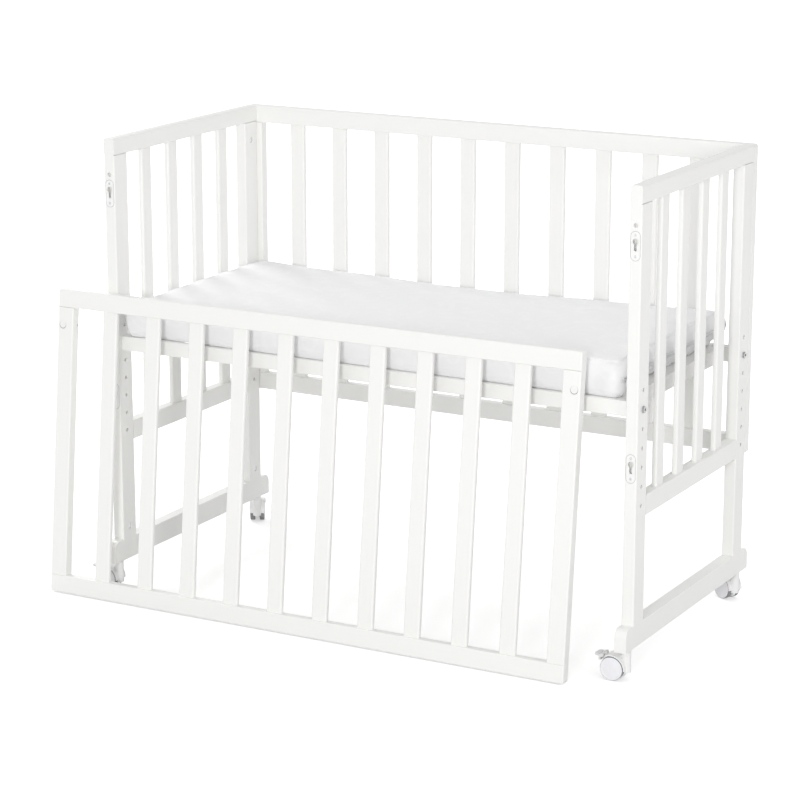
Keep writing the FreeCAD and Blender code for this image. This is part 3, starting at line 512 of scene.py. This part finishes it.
sewn = cover.vertex_groups.new(name="sewn")
for i in np.nonzero(on_seam > 0.6)[0]:
    sewn.add([int(i)], 1.0, "REPLACE")
cloth = cover.modifiers.new("filling", "CLOTH")
cloth.settings.quality = 5
cloth.settings.mass = 0.2
cloth.settings.use_pressure = True
cloth.settings.uniform_pressure_force = 4.0
cloth.settings.effector_weights.gravity = 0.0
cloth.settings.tension_stiffness = 12.0
cloth.settings.compression_stiffness = 12.0
cloth.settings.bending_stiffness = 0.4
cloth.settings.vertex_group_mass = "sewn"
for step in range(1, 21):
    bpy.context.scene.frame_set(step)
filled = read_points(plain_mesh(cover, "filled"))
cover.modifiers.clear()
cover.vertex_groups.clear()
bpy.context.scene.frame_set(1)
moved = filled - start
far = np.linalg.norm(moved, axis=1)
moved *= (np.minimum(far, cover_puff) / np.maximum(far, 1e-9))[:, None]
move_points(cover.data, start + moved)

smooth = cover.modifiers.new("ease", "SMOOTH")
smooth.factor = 0.5
smooth.iterations = 3
finer = cover.modifiers.new("finer", "SUBSURF")
finer.levels = finer.render_levels = 1
bake(cover)

# Seams, puckers along them, folds at the ends, and creases in the top.
point = read_points(cover.data)
normal = read_points(cover.data, "normal")
x, y, z = point.T
away = plan_inset(x, y) - seam_inset
level = (z - low.z) / mattress_high
end = eased(np.abs(x - middle.x), half.x - fold_band[0], half.x - fold_band[1])
puckers = np.sin(x * 430 + 2 * np.sin(y * 90)) * np.sin(y * 390 + 2 * np.sin(x * 70))
folds = (np.sin(2 * math.pi * z / fold_pitch + 1.9 * np.sin(y * 31) + 1.2 * np.sin(y * 83 + 1))
         + 0.6 * np.sin(y * 210 + 3 * np.sin(z * 120)))
folds *= end * eased(level, *fold_rise) * (1 - eased(level, *fold_fall))
folds *= np.where(x < middle.x, fold_left, 1) * (
    0.25 + 0.75 * eased(y, low.y + fold_front[0], low.y + fold_front[1]))
upper = eased(level, *top_rise)
push = upper * (pucker_height * puckers * np.exp(-(away / pucker_reach) ** 2)
                - seam_depth * np.exp(-(away / seam_half_width) ** 2)) + fold_height * folds
push += swell_height * upper * (np.sin(x * 15 + 1) * np.sin(y * 19 + 0.4)
                                + 0.5 * np.sin(x * 31 + y * 24 + 2))
crease = np.random.default_rng(crease_seed)
for _ in range(crease_count):
    side = crease.choice((-1, -1, 1))
    cx = middle.x + side * crease.uniform(0.18, half.x - 0.03)
    cy = middle.y + crease.uniform(-1, 1) * (half.y - 0.04)
    turn = math.radians(crease.uniform(-55, -10)) * -side
    length, width = crease.uniform(0.04, 0.10), crease.uniform(0.004, 0.008)
    depth = crease.uniform(0.0004, 0.0009)
    run = (x - cx) * math.cos(turn) + (y - cy) * math.sin(turn)
    off = (y - cy) * math.cos(turn) - (x - cx) * math.sin(turn) + crease_bend * run ** 2 / length
    push -= depth * upper * np.exp(-(off / width) ** 2) * np.clip(1 - (2 * run / length) ** 2, 0, 1)
point += normal * push[:, None]

# The cover stays within a few millimetres of the foam, and rests flat on the slats.
at_corner = 1 - eased(point[:, 2], high.z - corner_top[0], high.z - corner_top[1])
for axis in (0, 1):
    at_corner *= eased(np.abs(point[:, axis] - middle[axis]),
                       half[axis] - corner_band[0], half[axis] - corner_band[1])
at_edge = 1 - eased(point[:, 2], low.z + edge_top[0], low.z + edge_top[1])
deepest = np.minimum(corner_sunk + sunk_elsewhere * (1 - at_corner),
                     edge_sunk + sunk_elsewhere * (1 - at_edge))
for i, spot in enumerate(point):
    hit, face_normal, _, distance = foam.find_nearest(Vector(spot))
    outside = (Vector(spot) - hit).dot(face_normal) > 0
    if outside and distance > cover_proud:
        point[i] = hit + (Vector(spot) - hit).normalized() * cover_proud
    elif not outside and distance > deepest[i]:
        point[i] = hit - face_normal * deepest[i]
rise = np.maximum(point[:, 2] - low.z, 0)
point[:, 2] = low.z + np.where(rise < pressed, rise ** 2 / pressed, rise)
move_points(cover.data, point)

loop_pitch, leaf_scale = 0.0011, 26.0
jersey, tree, place = new_finish("white_jersey", 0.85, Sheen_Weight=0.25, Sheen_Roughness=0.5)
parts = add(tree, "ShaderNodeSeparateXYZ", {"Vector": place})
loops = None
for axis in "XYZ":
    turned = add(tree, "ShaderNodeMath", {0: parts.outputs[axis],
                                          1: 2 * math.pi / loop_pitch},
                 operation="MULTIPLY")
    ridge = add(tree, "ShaderNodeMath", {0: turned.outputs[0]}, operation="SINE").outputs[0]
    loops = ridge if loops is None else add(
        tree, "ShaderNodeMath", {0: loops, 1: ridge}, operation="ADD").outputs[0]
weave = span(tree, loops, 0.4, 0.6)
leaves = add(tree, "ShaderNodeTexVoronoi", {"Vector": place, "Scale": leaf_scale,
                                             "Randomness": 0.8}, feature="SMOOTH_F1")
bands = add(tree, "ShaderNodeMath", {0: leaves.outputs["Distance"], 1: leaf_scale},
            operation="MULTIPLY")
rim = add(tree, "ShaderNodeMath", {0: bands.outputs[0]}, operation="SINE").outputs[0]
soft = noise(tree, place, 18.0, 3.0)
relief = bump(tree, rim, 0.00008, 0.3, bump(tree, weave, 0.0002, 0.5))
relief = bump(tree, soft, 0.002, 0.25, relief)
wire(tree, mix_colours(tree, rim, (0.884, 0.884, 0.896, 1), (0.900, 0.900, 0.908, 1), 0.4, 0.9),
     span(tree, soft, 0.75, 0.95), relief)
cover.data.materials.clear()
cover.data.materials.append(jersey)
cover.data.shade_smooth()
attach(cover, "mattress_set")
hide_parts("mattress")


# ---------------------------------------------------------------- stitches of the cover
# White polyester thread, topstitched along the top seam, just inside it.
stitch_pitch, stitch_long, stitch_thick = 0.0045, 0.0031, 0.0006
stitch_inset = seam_inset + 0.0036
path_step, ray_start = 0.004, 0.05
stitch_lift = 0.0001
skin = BVHTree.FromPolygons(read_points(cover.data).tolist(),
                            [face.vertices[:] for face in cover.data.polygons])


def met(origin, direction, lift=0.0):
    """The point where a ray meets the cover, lifted off it against the ray."""
    direction = Vector(direction).normalized()
    hit = skin.ray_cast(Vector(origin), direction)[0]
    return hit - direction * lift


def round_outline(inset):
    """Points in plan along the mattress's outline, at one distance inside it."""
    hx, hy = half.x - inset, half.y - inset
    plan = []
    for turn, (sx, sy) in enumerate(((1, 1), (-1, 1), (-1, -1), (1, -1))):
        r = max((corner_left if sx < 0 else corner_right) - inset, 0.001)
        for k in range(9):
            a = math.radians(90 * turn + 90 * k / 8)
            plan.append((middle.x + sx * (hx - r) + r * math.cos(a),
                         middle.y + sy * (hy - r) + r * math.sin(a)))
    dense = []
    for (ax, ay), (bx, by) in zip(plan, plan[1:] + plan[:1]):
        count = max(1, round(math.hypot(bx - ax, by - ay) / path_step))
        dense += [(ax + (bx - ax) * k / count, ay + (by - ay) * k / count) for k in range(count)]
    return dense


thread_path = [met((px, py, high.z + ray_start), (0, 0, -1), stitch_lift)
               for px, py in round_outline(stitch_inset)]
path_mesh = bpy.data.meshes.new("cover_stitches")
path_mesh.from_pydata(thread_path, [(k, (k + 1) % len(thread_path))
                                    for k in range(len(thread_path))], [])



def spaced(tree, given):
    """Points at an even pitch along the path that a tree is given."""
    line = add(tree, "GeometryNodeMeshToCurve", {"Mesh": given.outputs["Geometry"]})
    return add(tree, "GeometryNodeCurveToPoints", {"Curve": line.outputs[0],
                                                   "Length": given.outputs["Pitch"]},
               mode="LENGTH")


tree, given = repeat_tree("stitches_along_seam", Pitch=("Float", 0.004), Long=("Float", 0.003),
                          Thick=("Float", 0.0005))
along = spaced(tree, given)
size = add(tree, "ShaderNodeCombineXYZ", {"X": given.outputs["Long"],
                                          "Y": given.outputs["Thick"],
                                          "Z": given.outputs["Thick"]})
bead = add(tree, "GeometryNodeMeshUVSphere", {"Segments": 6, "Rings": 4, "Radius": 0.5})
thread = add(tree, "GeometryNodeTransform", {"Geometry": bead.outputs["Mesh"],
                                             "Scale": size.outputs[0]})
heading = add(tree, "FunctionNodeAlignRotationToVector", {"Vector": along.outputs["Tangent"]},
              axis="X")
laid = add(tree, "GeometryNodeInstanceOnPoints",
           {"Points": along.outputs["Points"], "Instance": thread.outputs[0],
            "Rotation": heading.outputs[0]})

polyester, yarn_tree, place = new_finish("polyester_thread", 0.5, Sheen_Weight=0.2)
ply = noise(yarn_tree, place, 2500.0, 1.0)
wire(yarn_tree, mix_colours(yarn_tree, ply, (0.74, 0.74, 0.76, 1), (0.86, 0.86, 0.87, 1)), None,
     bump(yarn_tree, ply, 0.00004, 0.6))
end_tree(tree, laid.outputs[0], polyester)
stitches = link_piece("cover_stitches", path_mesh)
grown(stitches, tree, Pitch=stitch_pitch, Long=stitch_long, Thick=stitch_thick)
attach(stitches, "mattress_set")


# ---------------------------------------------------------------- zip
# A nylon coil zip runs along the right end, from the front corner to the rear one: a woven
# tape sewn to the cover, two rows of coil, and a slider with a pull at the front.
low_zip, high_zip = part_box("mattress_zip")
zip_level = (low_zip.z + high_zip.z) / 2
tape_half, tape_thick = 0.0048, 0.0007
coil_pitch, coil_thick, coil_long, coil_deep = 0.0013, 0.0010, 0.0024, 0.0013
row_offset = 0.0008
tape_step, coil_step = 0.005, 0.004
tape_lift, coil_lift, zip_ray_start = 0.0004, 0.0006, 0.15
zip_turn, slider_turn = math.radians(45), math.radians(22.5)    # round the front corner
corner_x, corner_y = high.x - corner_right, low.y + corner_right
rear_y = high.y - corner_right


def zip_stations(step):
    """Centre and outward direction of each station along the zip, from front to rear."""
    stations = []
    turns = round(zip_turn * corner_right / step)
    for k in range(turns):
        a = zip_turn * (1 - k / turns)
        stations.append((Vector((corner_x, corner_y, 0)), Vector((math.cos(a), -math.sin(a), 0))))
    count = round((rear_y - corner_y) / step)
    for k in range(count + 1):
        y_now = corner_y + (rear_y - corner_y) * k / count
        stations.append((Vector((corner_x, y_now, 0)), Vector((1, 0, 0))))
    return stations


def on_cover(centre, outward, height, lift):
    """The cover's surface at one station and height, lifted outward."""
    return met(centre + outward * zip_ray_start + Vector((0, 0, height)), -outward, lift)


tape_mesh = bpy.data.meshes.new("zip_tape")
rows = [zip_level + share * tape_half for share in (-1, -0.5, 0, 0.5, 1)]
stations = zip_stations(tape_step)
tape_points = [on_cover(centre, outward, height, tape_lift)
               for centre, outward in stations for height in rows]
tape_faces = []
for i in range(len(stations) - 1):
    for j in range(len(rows) - 1):
        a = i * len(rows) + j
        tape_faces.append((a, a + len(rows), a + len(rows) + 1, a + 1))
tape_mesh.from_pydata(tape_points, [], tape_faces)
tape = link_piece("zip_tape", tape_mesh)
thicken = tape.modifiers.new("woven", "SOLIDIFY")
thicken.thickness = tape_thick
thicken.offset = 1.0
bake(tape)

tape_weave, tree, place = new_finish("white_tape", 0.7, Sheen_Weight=0.2)
twill = add(tree, "ShaderNodeTexWave", {"Vector": place, "Scale": 420.0, "Distortion": 0.6},
            bands_direction="DIAGONAL").outputs["Fac"]
fuzz = noise(tree, place, 900.0, 2.0)
wire(tree, mix_colours(tree, twill, (0.76, 0.76, 0.77, 1), (0.85, 0.85, 0.86, 1), 0.2, 0.8),
     span(tree, fuzz, 0.6, 0.85), bump(tree, twill, 0.0001, 0.6))
tape.data.materials.append(tape_weave)
tape.data.shade_smooth()
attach(tape, "mattress_set")
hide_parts("mattress_zip")

nylon, tree, place = new_finish("white_nylon", 0.34, Subsurface_Weight=0.05)
gloss = noise(tree, place, 700.0, 2.0)
wire(tree, mix_colours(tree, gloss, (0.74, 0.74, 0.75, 1), (0.86, 0.86, 0.87, 1)),
     span(tree, gloss, 0.28, 0.45), bump(tree, gloss, 0.00005, 0.5))
coil_path = [on_cover(centre, outward, zip_level, tape_thick + coil_lift)
             for centre, outward in zip_stations(coil_step)]
coil_mesh = bpy.data.meshes.new("zip_coil")
coil_mesh.from_pydata(coil_path, [(k, k + 1) for k in range(len(coil_path) - 1)], [])
tree, given = repeat_tree("coil_along_zip", Pitch=("Float", 0.0013), Offset=("Float", 0.0008),
                          Size=("Vector", None))
along = spaced(tree, given)
number = add(tree, "GeometryNodeInputIndex").outputs[0]
odd = add(tree, "ShaderNodeMath", {0: number, 1: 2.0}, operation="MODULO").outputs[0]
sway = add(tree, "ShaderNodeMapRange", {"Value": odd, "To Min": -1.0, "To Max": 1.0})
shift = add(tree, "ShaderNodeMath", {0: sway.outputs["Result"], 1: given.outputs["Offset"]},
            operation="MULTIPLY").outputs[0]
aside = add(tree, "ShaderNodeCombineXYZ", {"Z": shift}).outputs[0]
stagger = add(tree, "GeometryNodeSetPosition", {"Geometry": along.outputs["Points"],
                                                "Offset": aside})
bead = add(tree, "GeometryNodeMeshUVSphere", {"Segments": 8, "Rings": 5, "Radius": 0.5})
tooth = add(tree, "GeometryNodeTransform", {"Geometry": bead.outputs["Mesh"],
                                            "Scale": given.outputs["Size"]})
heading = add(tree, "FunctionNodeAlignRotationToVector", {"Vector": along.outputs["Tangent"]},
              axis="X", pivot_axis="Z")
teeth = add(tree, "GeometryNodeInstanceOnPoints",
            {"Points": stagger.outputs[0], "Instance": tooth.outputs[0],
             "Rotation": heading.outputs[0]})
end_tree(tree, teeth.outputs[0], nylon)
coil = link_piece("zip_coil", coil_mesh)
grown(coil, tree, Pitch=coil_pitch / 2, Offset=row_offset, Size=(coil_thick, coil_deep, coil_long))
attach(coil, "mattress_set")

# The slider's body, its bridge and its pull, each a bevelled plate in the slider's own axes:
# along the zip, outward and up.
outward = Vector((math.cos(slider_turn), -math.sin(slider_turn), 0))
run_on = Vector((math.sin(slider_turn), math.cos(slider_turn), 0))
seat = on_cover(Vector((corner_x, corner_y, 0)), outward, zip_level, tape_thick)
slider_axes = Matrix((run_on, outward, Vector((0, 0, 1)))).transposed().to_4x4()
slider_axes.translation = seat


def plate(name, outline, near, far, bevel, holes=()):
    """A plate from an outline along and up, between two distances outward, with soft edges."""
    flat = bmesh.new()
    rims = []
    for loop in (outline, *holes):
        made = [flat.verts.new((a, near, c)) for a, c in loop]
        rims += [flat.edges.new((p, q)) for p, q in zip(made, made[1:] + made[:1])]
    bmesh.ops.triangle_fill(flat, edges=rims, use_beauty=True)
    faces = flat.faces[:]
    grown_faces = bmesh.ops.extrude_face_region(flat, geom=faces)["geom"]
    moved_points = [g for g in grown_faces if isinstance(g, bmesh.types.BMVert)]
    bmesh.ops.translate(flat, verts=moved_points, vec=(0, far - near, 0))
    bmesh.ops.dissolve_limit(flat, angle_limit=0.01, verts=flat.verts[:], edges=flat.edges[:])
    bmesh.ops.recalc_face_normals(flat, faces=flat.faces[:])
    bmesh.ops.bevel(flat, geom=[e for e in flat.edges if e.calc_face_angle(0) > 0.9],
                    offset=bevel, segments=2, affect="EDGES", profile=0.6)
    bmesh.ops.triangulate(flat, faces=flat.faces[:])
    flat.transform(slider_axes)
    bmesh.ops.recalc_face_normals(flat, faces=flat.faces[:])
    mesh = bpy.data.meshes.new(name)
    flat.to_mesh(mesh)
    flat.free()
    return mesh


def joined(name, meshes, material):
    """Several meshes as one piece."""
    whole = bmesh.new()
    for mesh in meshes:
        whole.from_mesh(mesh)
    made = bpy.data.meshes.new(name)
    whole.to_mesh(made)
    whole.free()
    return link_piece(name, made, material, smooth=False)


def oval(across, up, centre_up=0.0, count=16):
    """A rounded outline about a point above or below the zip's middle."""
    turns = [2 * math.pi * k / count for k in range(count)]
    return [(across * math.copysign(abs(math.cos(a)) ** 0.7, math.cos(a)),
             centre_up + up * math.copysign(abs(math.sin(a)) ** 0.7, math.sin(a))) for a in turns]


body = plate("slider_body", [(-0.0046, -0.0018), (-0.0030, -0.0036), (0.0030, -0.0030),
                             (0.0044, -0.0024), (0.0044, 0.0024), (0.0030, 0.0030),
                             (-0.0030, 0.0036), (-0.0046, 0.0018)], 0.0004, 0.0021, 0.0003)
arch = plate("slider_bridge", [(-0.0028, -0.0007), (0.0030, -0.0007), (0.0030, 0.0007),
                               (-0.0028, 0.0007)], 0.0019, 0.0036, 0.0003)
slider = joined("zip_slider", [body, arch], zinc)
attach(slider, "mattress_set")
pull_mesh = plate("zip_pull", oval(0.0022, 0.0068, -0.0052), 0.0024, 0.0033, 0.00022,
                  [oval(0.0011, 0.0012, -0.0004, 10)])
pull = joined("zip_pull", [pull_mesh], nylon)
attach(pull, "mattress_set")


# ---------------------------------------------------------------- side tag
# A blank dark grey satin ribbon, folded double and caught in the cover at its upper edge; it
# hangs in front of the mattress, left of the right front corner.
tag_low, tag_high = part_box("mattress_tag")
tag_width = tag_high.x - tag_low.x
tag_curl, tag_wave, tag_clear = 0.0016, 0.0004, 0.0006
ribbon_thick, layer_gap = 0.00035, 0.00055
fold_below = 0.0004
tag_columns, tag_rows = 6, 10
tag_drop = tag_high.z - tag_low.z
tag_y = min(met((px, low.y - ray_start, height), (0, 1, 0)).y
            for px in (tag_low.x, tag_high.x) for height in (tag_low.z, tag_high.z))
profile = []                                     # (distance in front of the cover, height)
for layer, steps in ((layer_gap, range(tag_rows + 1)), (-layer_gap * 0.2, range(tag_rows, -1, -1))):
    if layer < 0:
        profile.append((tag_curl + layer_gap / 2, tag_low.z - fold_below))
    for k in steps:
        share = k / tag_rows
        profile.append((tag_curl * math.sin(share * math.pi / 2) ** 2 + layer,
                        tag_high.z - share * tag_drop))
tag_points, tag_faces = [], []
for column in range(tag_columns + 1):
    px = tag_low.x + tag_width * column / tag_columns
    wave = tag_wave * math.sin(column * 1.4)
    for out, height in profile:
        share = (tag_high.z - height) / tag_drop
        tag_points.append((px, tag_y - tag_clear - out - wave * share, height))
rows = len(profile)
for column in range(tag_columns):
    for row in range(rows - 1):
        a = column * rows + row
        tag_faces.append((a, a + 1, a + 1 + rows, a + rows))
tag_mesh = bpy.data.meshes.new("side_tag")
tag_mesh.from_pydata(tag_points, [], tag_faces)
tag = link_piece("side_tag", tag_mesh)
thicken = tag.modifiers.new("ribbon", "SOLIDIFY")
thicken.thickness = ribbon_thick
bake(tag)

satin, tree, place = new_finish("grey_satin", 0.5, Sheen_Weight=0.3)
warp = add(tree, "ShaderNodeTexWave", {"Vector": place, "Scale": 900.0},
           bands_direction="X").outputs["Fac"]
wire(tree, mix_colours(tree, warp, (0.085, 0.085, 0.10, 1), (0.14, 0.14, 0.155, 1), 0.2, 0.8),
     span(tree, warp, 0.42, 0.6), bump(tree, warp, 0.00005, 0.5))
tag.data.materials.append(satin)
tag.data.shade_smooth()
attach(tag, "mattress_set")
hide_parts("mattress_tag")


# ---------------------------------------------------------------- casters
# Twin-wheel casters: a glossy white nylon housing with a hood over two pale grey wheels on a
# steel pin. The two front ones have a foot lever that presses on the wheels.
def moulded(name, dark, light, rough):
    """Injection-moulded plastic with faint flow marks and a fine spark texture."""
    material, tree, place = new_finish(name, rough, Subsurface_Weight=0.05,
                                       Subsurface_Scale=0.002)
    flow = noise(tree, place, 45.0, 2.0, Distortion=1.2)
    wire(tree, mix_colours(tree, flow, dark, light), span(tree, flow, rough - 0.06, rough + 0.08),
         bump(tree, noise(tree, place, 1800.0, 1.0), 0.00003, 0.5))
    return material


hood_white = moulded("caster_nylon", (0.86, 0.86, 0.855, 1), (0.90, 0.90, 0.895, 1), 0.3)
wheel_grey = moulded("wheel_polymer", (0.86, 0.86, 0.89, 1), (0.89, 0.89, 0.92, 1), 0.38)
lever_white = moulded("lever_nylon", (0.72, 0.72, 0.72, 1), (0.78, 0.78, 0.78, 1), 0.34)
give(hood_white, *("caster_housing_" + c for c in corners))
give(lever_white, "brake_lever_front_left", "brake_lever_front_right")


# ---------------------------------------------------------------- caster wheels
# Each wheel is a moulded disc with a slightly domed pale face, a fine ring round it, and a tread
# moulded over its rim. The tread is coloured dark grey as painted shade, for the shadow in the gap
# under the hood.
# painted shade: the dark grey tread stands for the shadow in the gap between wheel and hood
tread_painted_shade = moulded("tread_polymer", (0.24, 0.24, 0.25, 1), (0.31, 0.31, 0.32, 1), 0.5)
wheel_radius, wheel_inner, wheel_outer, wheel_sides = 0.019, 0.004, 0.013, 64
tread_round, groove_radius, groove_depth, dome = 0.0018, 0.0152, 0.0003, 0.0006
groove_floor, groove_lip, arc_steps = 0.0001, 0.0004, 5
inner_rim = ((0.0008, 0), (0.00015, 0.0004), (0, 0.0012))    # in from the rim, and outward
section = [(0.0, wheel_inner)] + [(wheel_radius - inward, wheel_inner + out)
                                  for inward, out in inner_rim]
for k in range(arc_steps + 1):
    a = math.radians(90 * k / arc_steps)
    section.append((wheel_radius - tread_round * (1 - math.cos(a)),
                    wheel_outer - tread_round * (1 - math.sin(a))))
section += [(groove_radius + groove_lip, wheel_outer),
            (groove_radius + groove_floor, wheel_outer - groove_depth),
            (groove_radius - groove_floor, wheel_outer - groove_depth),
            (groove_radius - groove_lip, wheel_outer - dome)]
for k in range(1, arc_steps + 1):
    r = (groove_radius - groove_lip) * (1 - k / arc_steps)
    section.append((r, wheel_outer - dome * (r / groove_radius) ** 2))
tread_rows = (1, 6)           # the bands of the section, from its axle, that are tread
for joint in frame["record"]["behaviour"]["joints"]:
    if not joint["name"].startswith("wheel_roll_"):
        continue
    corner = joint["name"][len("wheel_roll_"):]
    axle, hub = Vector(joint["axis"]).normalized(), Vector(joint["pos_m"])
    forward = Vector((0, 0, 1)).cross(axle)
    pair, is_tread = bmesh.new(), []
    for side in (-1, 1):
        loops = []
        for radius, out in section:
            if radius == 0:
                loops.append([pair.verts.new(hub + axle * side * out)])
                continue
            loops.append([pair.verts.new(
                hub + axle * side * out + forward * radius * math.cos(2 * math.pi * k / wheel_sides)
                + Vector((0, 0, 1)) * radius * math.sin(2 * math.pi * k / wheel_sides))
                for k in range(wheel_sides)])
        for band, (below, above) in enumerate(zip(loops, loops[1:])):
            for k in range(wheel_sides):
                j = (k + 1) % wheel_sides
                corner_points = [below[k % len(below)], below[j % len(below)],
                                 above[j % len(above)], above[k % len(above)]]
                pair.faces.new(list(dict.fromkeys(corner_points)))
                is_tread.append(int(tread_rows[0] <= band <= tread_rows[1]))
    bmesh.ops.recalc_face_normals(pair, faces=pair.faces[:])
    wheel_mesh = bpy.data.meshes.new("wheel_pair_" + corner)
    pair.to_mesh(wheel_mesh)
    pair.free()
    wheels = link_piece("wheel_pair_" + corner, wheel_mesh, wheel_grey)
    wheels.data.materials.append(tread_painted_shade)
    wheels.data.polygons.foreach_set("material_index", is_tread)
    wheels.data.set_sharp_from_angle(angle=math.radians(35))
    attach(wheels, "wheels_" + corner)
    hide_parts("caster_wheels_" + corner)


# ---------------------------------------------------------------- floor, light and camera
# A pale floor without an edge, under a white studio surround. A soft lamp stands low in
# front; two others, at the left rear and at the right, shine through the end slats.
crib_middle = Vector((0.0405, 0.013, 0.382))
floor_size = 12.0


def seen_ray(tree):
    """1 for the rays that show a surface, by sight, in a reflection or through glass."""
    rays = add(tree, "ShaderNodeLightPath").outputs
    seen = add(tree, "ShaderNodeMath", {0: rays["Is Camera Ray"], 1: rays["Is Glossy Ray"]},
               operation="MAXIMUM").outputs[0]
    return add(tree, "ShaderNodeMath", {0: seen, 1: rays["Is Transmission Ray"]},
               operation="MAXIMUM").outputs[0]


floor_mesh = bpy.data.meshes.new("floor")
floor_mesh.from_pydata([(-floor_size, -floor_size, 0), (floor_size, -floor_size, 0),
                        (floor_size, floor_size, 0), (-floor_size, floor_size, 0)],
                       [], [(0, 1, 2, 3)])
floor_white = bpy.data.materials.new("floor_white")
floor_white.use_nodes = True
tree = floor_white.node_tree
tree.nodes.clear()
place = add(tree, "ShaderNodeTexCoord").outputs["Object"]
reach = add(tree, "ShaderNodeVectorMath", {0: place}, operation="LENGTH").outputs["Value"]
fade = add(tree, "ShaderNodeMapRange", {"Value": reach, "From Min": 0.5, "From Max": 2.2,
                                        "To Min": 0.48, "To Max": 1.0})
glow = add(tree, "ShaderNodeMath", {0: seen_ray(tree), 1: fade.outputs["Result"]},
           operation="MULTIPLY")
lit = add(tree, "ShaderNodeBsdfDiffuse", {"Color": (0.72, 0.72, 0.72, 1)})
shine = add(tree, "ShaderNodeEmission", {"Strength": glow.outputs[0]})
both = add(tree, "ShaderNodeAddShader", {0: lit.outputs[0], 1: shine.outputs[0]})
add(tree, "ShaderNodeOutputMaterial", {"Surface": both.outputs[0]})
link_piece("floor", floor_mesh, floor_white, smooth=False)

world = bpy.data.worlds.new("studio")
bpy.context.scene.world = world
world.use_nodes = True
tree = world.node_tree
tree.nodes.clear()
place = add(tree, "ShaderNodeTexCoord").outputs["Generated"]
upward = add(tree, "ShaderNodeSeparateXYZ", {"Vector": place}).outputs["Z"]
ambient = span(tree, upward, 0.50, 1.25)     # at the horizon, overhead
level = span(tree, seen_ray(tree), ambient, 1.0)
surround = add(tree, "ShaderNodeBackground", {"Strength": level})
add(tree, "ShaderNodeOutputWorld", {"Surface": surround.outputs[0]})


def softbox(name, where, size, watts):
    """A square area lamp that faces the crib."""
    light = bpy.data.lights.new(name, "AREA")
    light.shape = "SQUARE"
    light.size = size
    light.energy = watts
    lamp = bpy.data.objects.new(name, light)
    lamp.location = where
    lamp.rotation_euler = (crib_middle - Vector(where)).to_track_quat("-Z", "Y").to_euler()
    bpy.context.scene.collection.objects.link(lamp)


softbox("front_lamp", (1.55, -5.2, 1.35), 0.9, 90)
softbox("rear_left_lamp", (-2.15, 1.25, 1.25), 0.8, 25)
softbox("right_lamp", (3.0, -1.3, 1.0), 0.6, 9)

azimuth, elevation = math.radians(28.65), math.radians(14.27)
distance = 4.4716
focal_pixels, image_pixels = 2720.6, 800
target_right, target_up = -0.0423, 0.3358    # from the middle of the crib's footprint
right = Vector((math.cos(azimuth), math.sin(azimuth), 0))
back = Vector((math.sin(azimuth) * math.cos(elevation),
               -math.cos(azimuth) * math.cos(elevation), math.sin(elevation)))
target = (Vector((crib_middle.x, crib_middle.y, 0)) + right * target_right
          + Vector((0, 0, target_up)))
sensor_mm = 36
lens = bpy.data.cameras.new("camera")
lens.sensor_width = sensor_mm
lens.lens = sensor_mm * focal_pixels / image_pixels
camera = bpy.data.objects.new("camera", lens)
camera.location = target + back * distance
camera.rotation_mode = "QUATERNION"
camera.rotation_quaternion = back.to_track_quat("Z", "Y")
bpy.context.scene.collection.objects.link(camera)
bpy.context.scene.camera = camera
bpy.context.scene.view_settings.view_transform = "Standard"
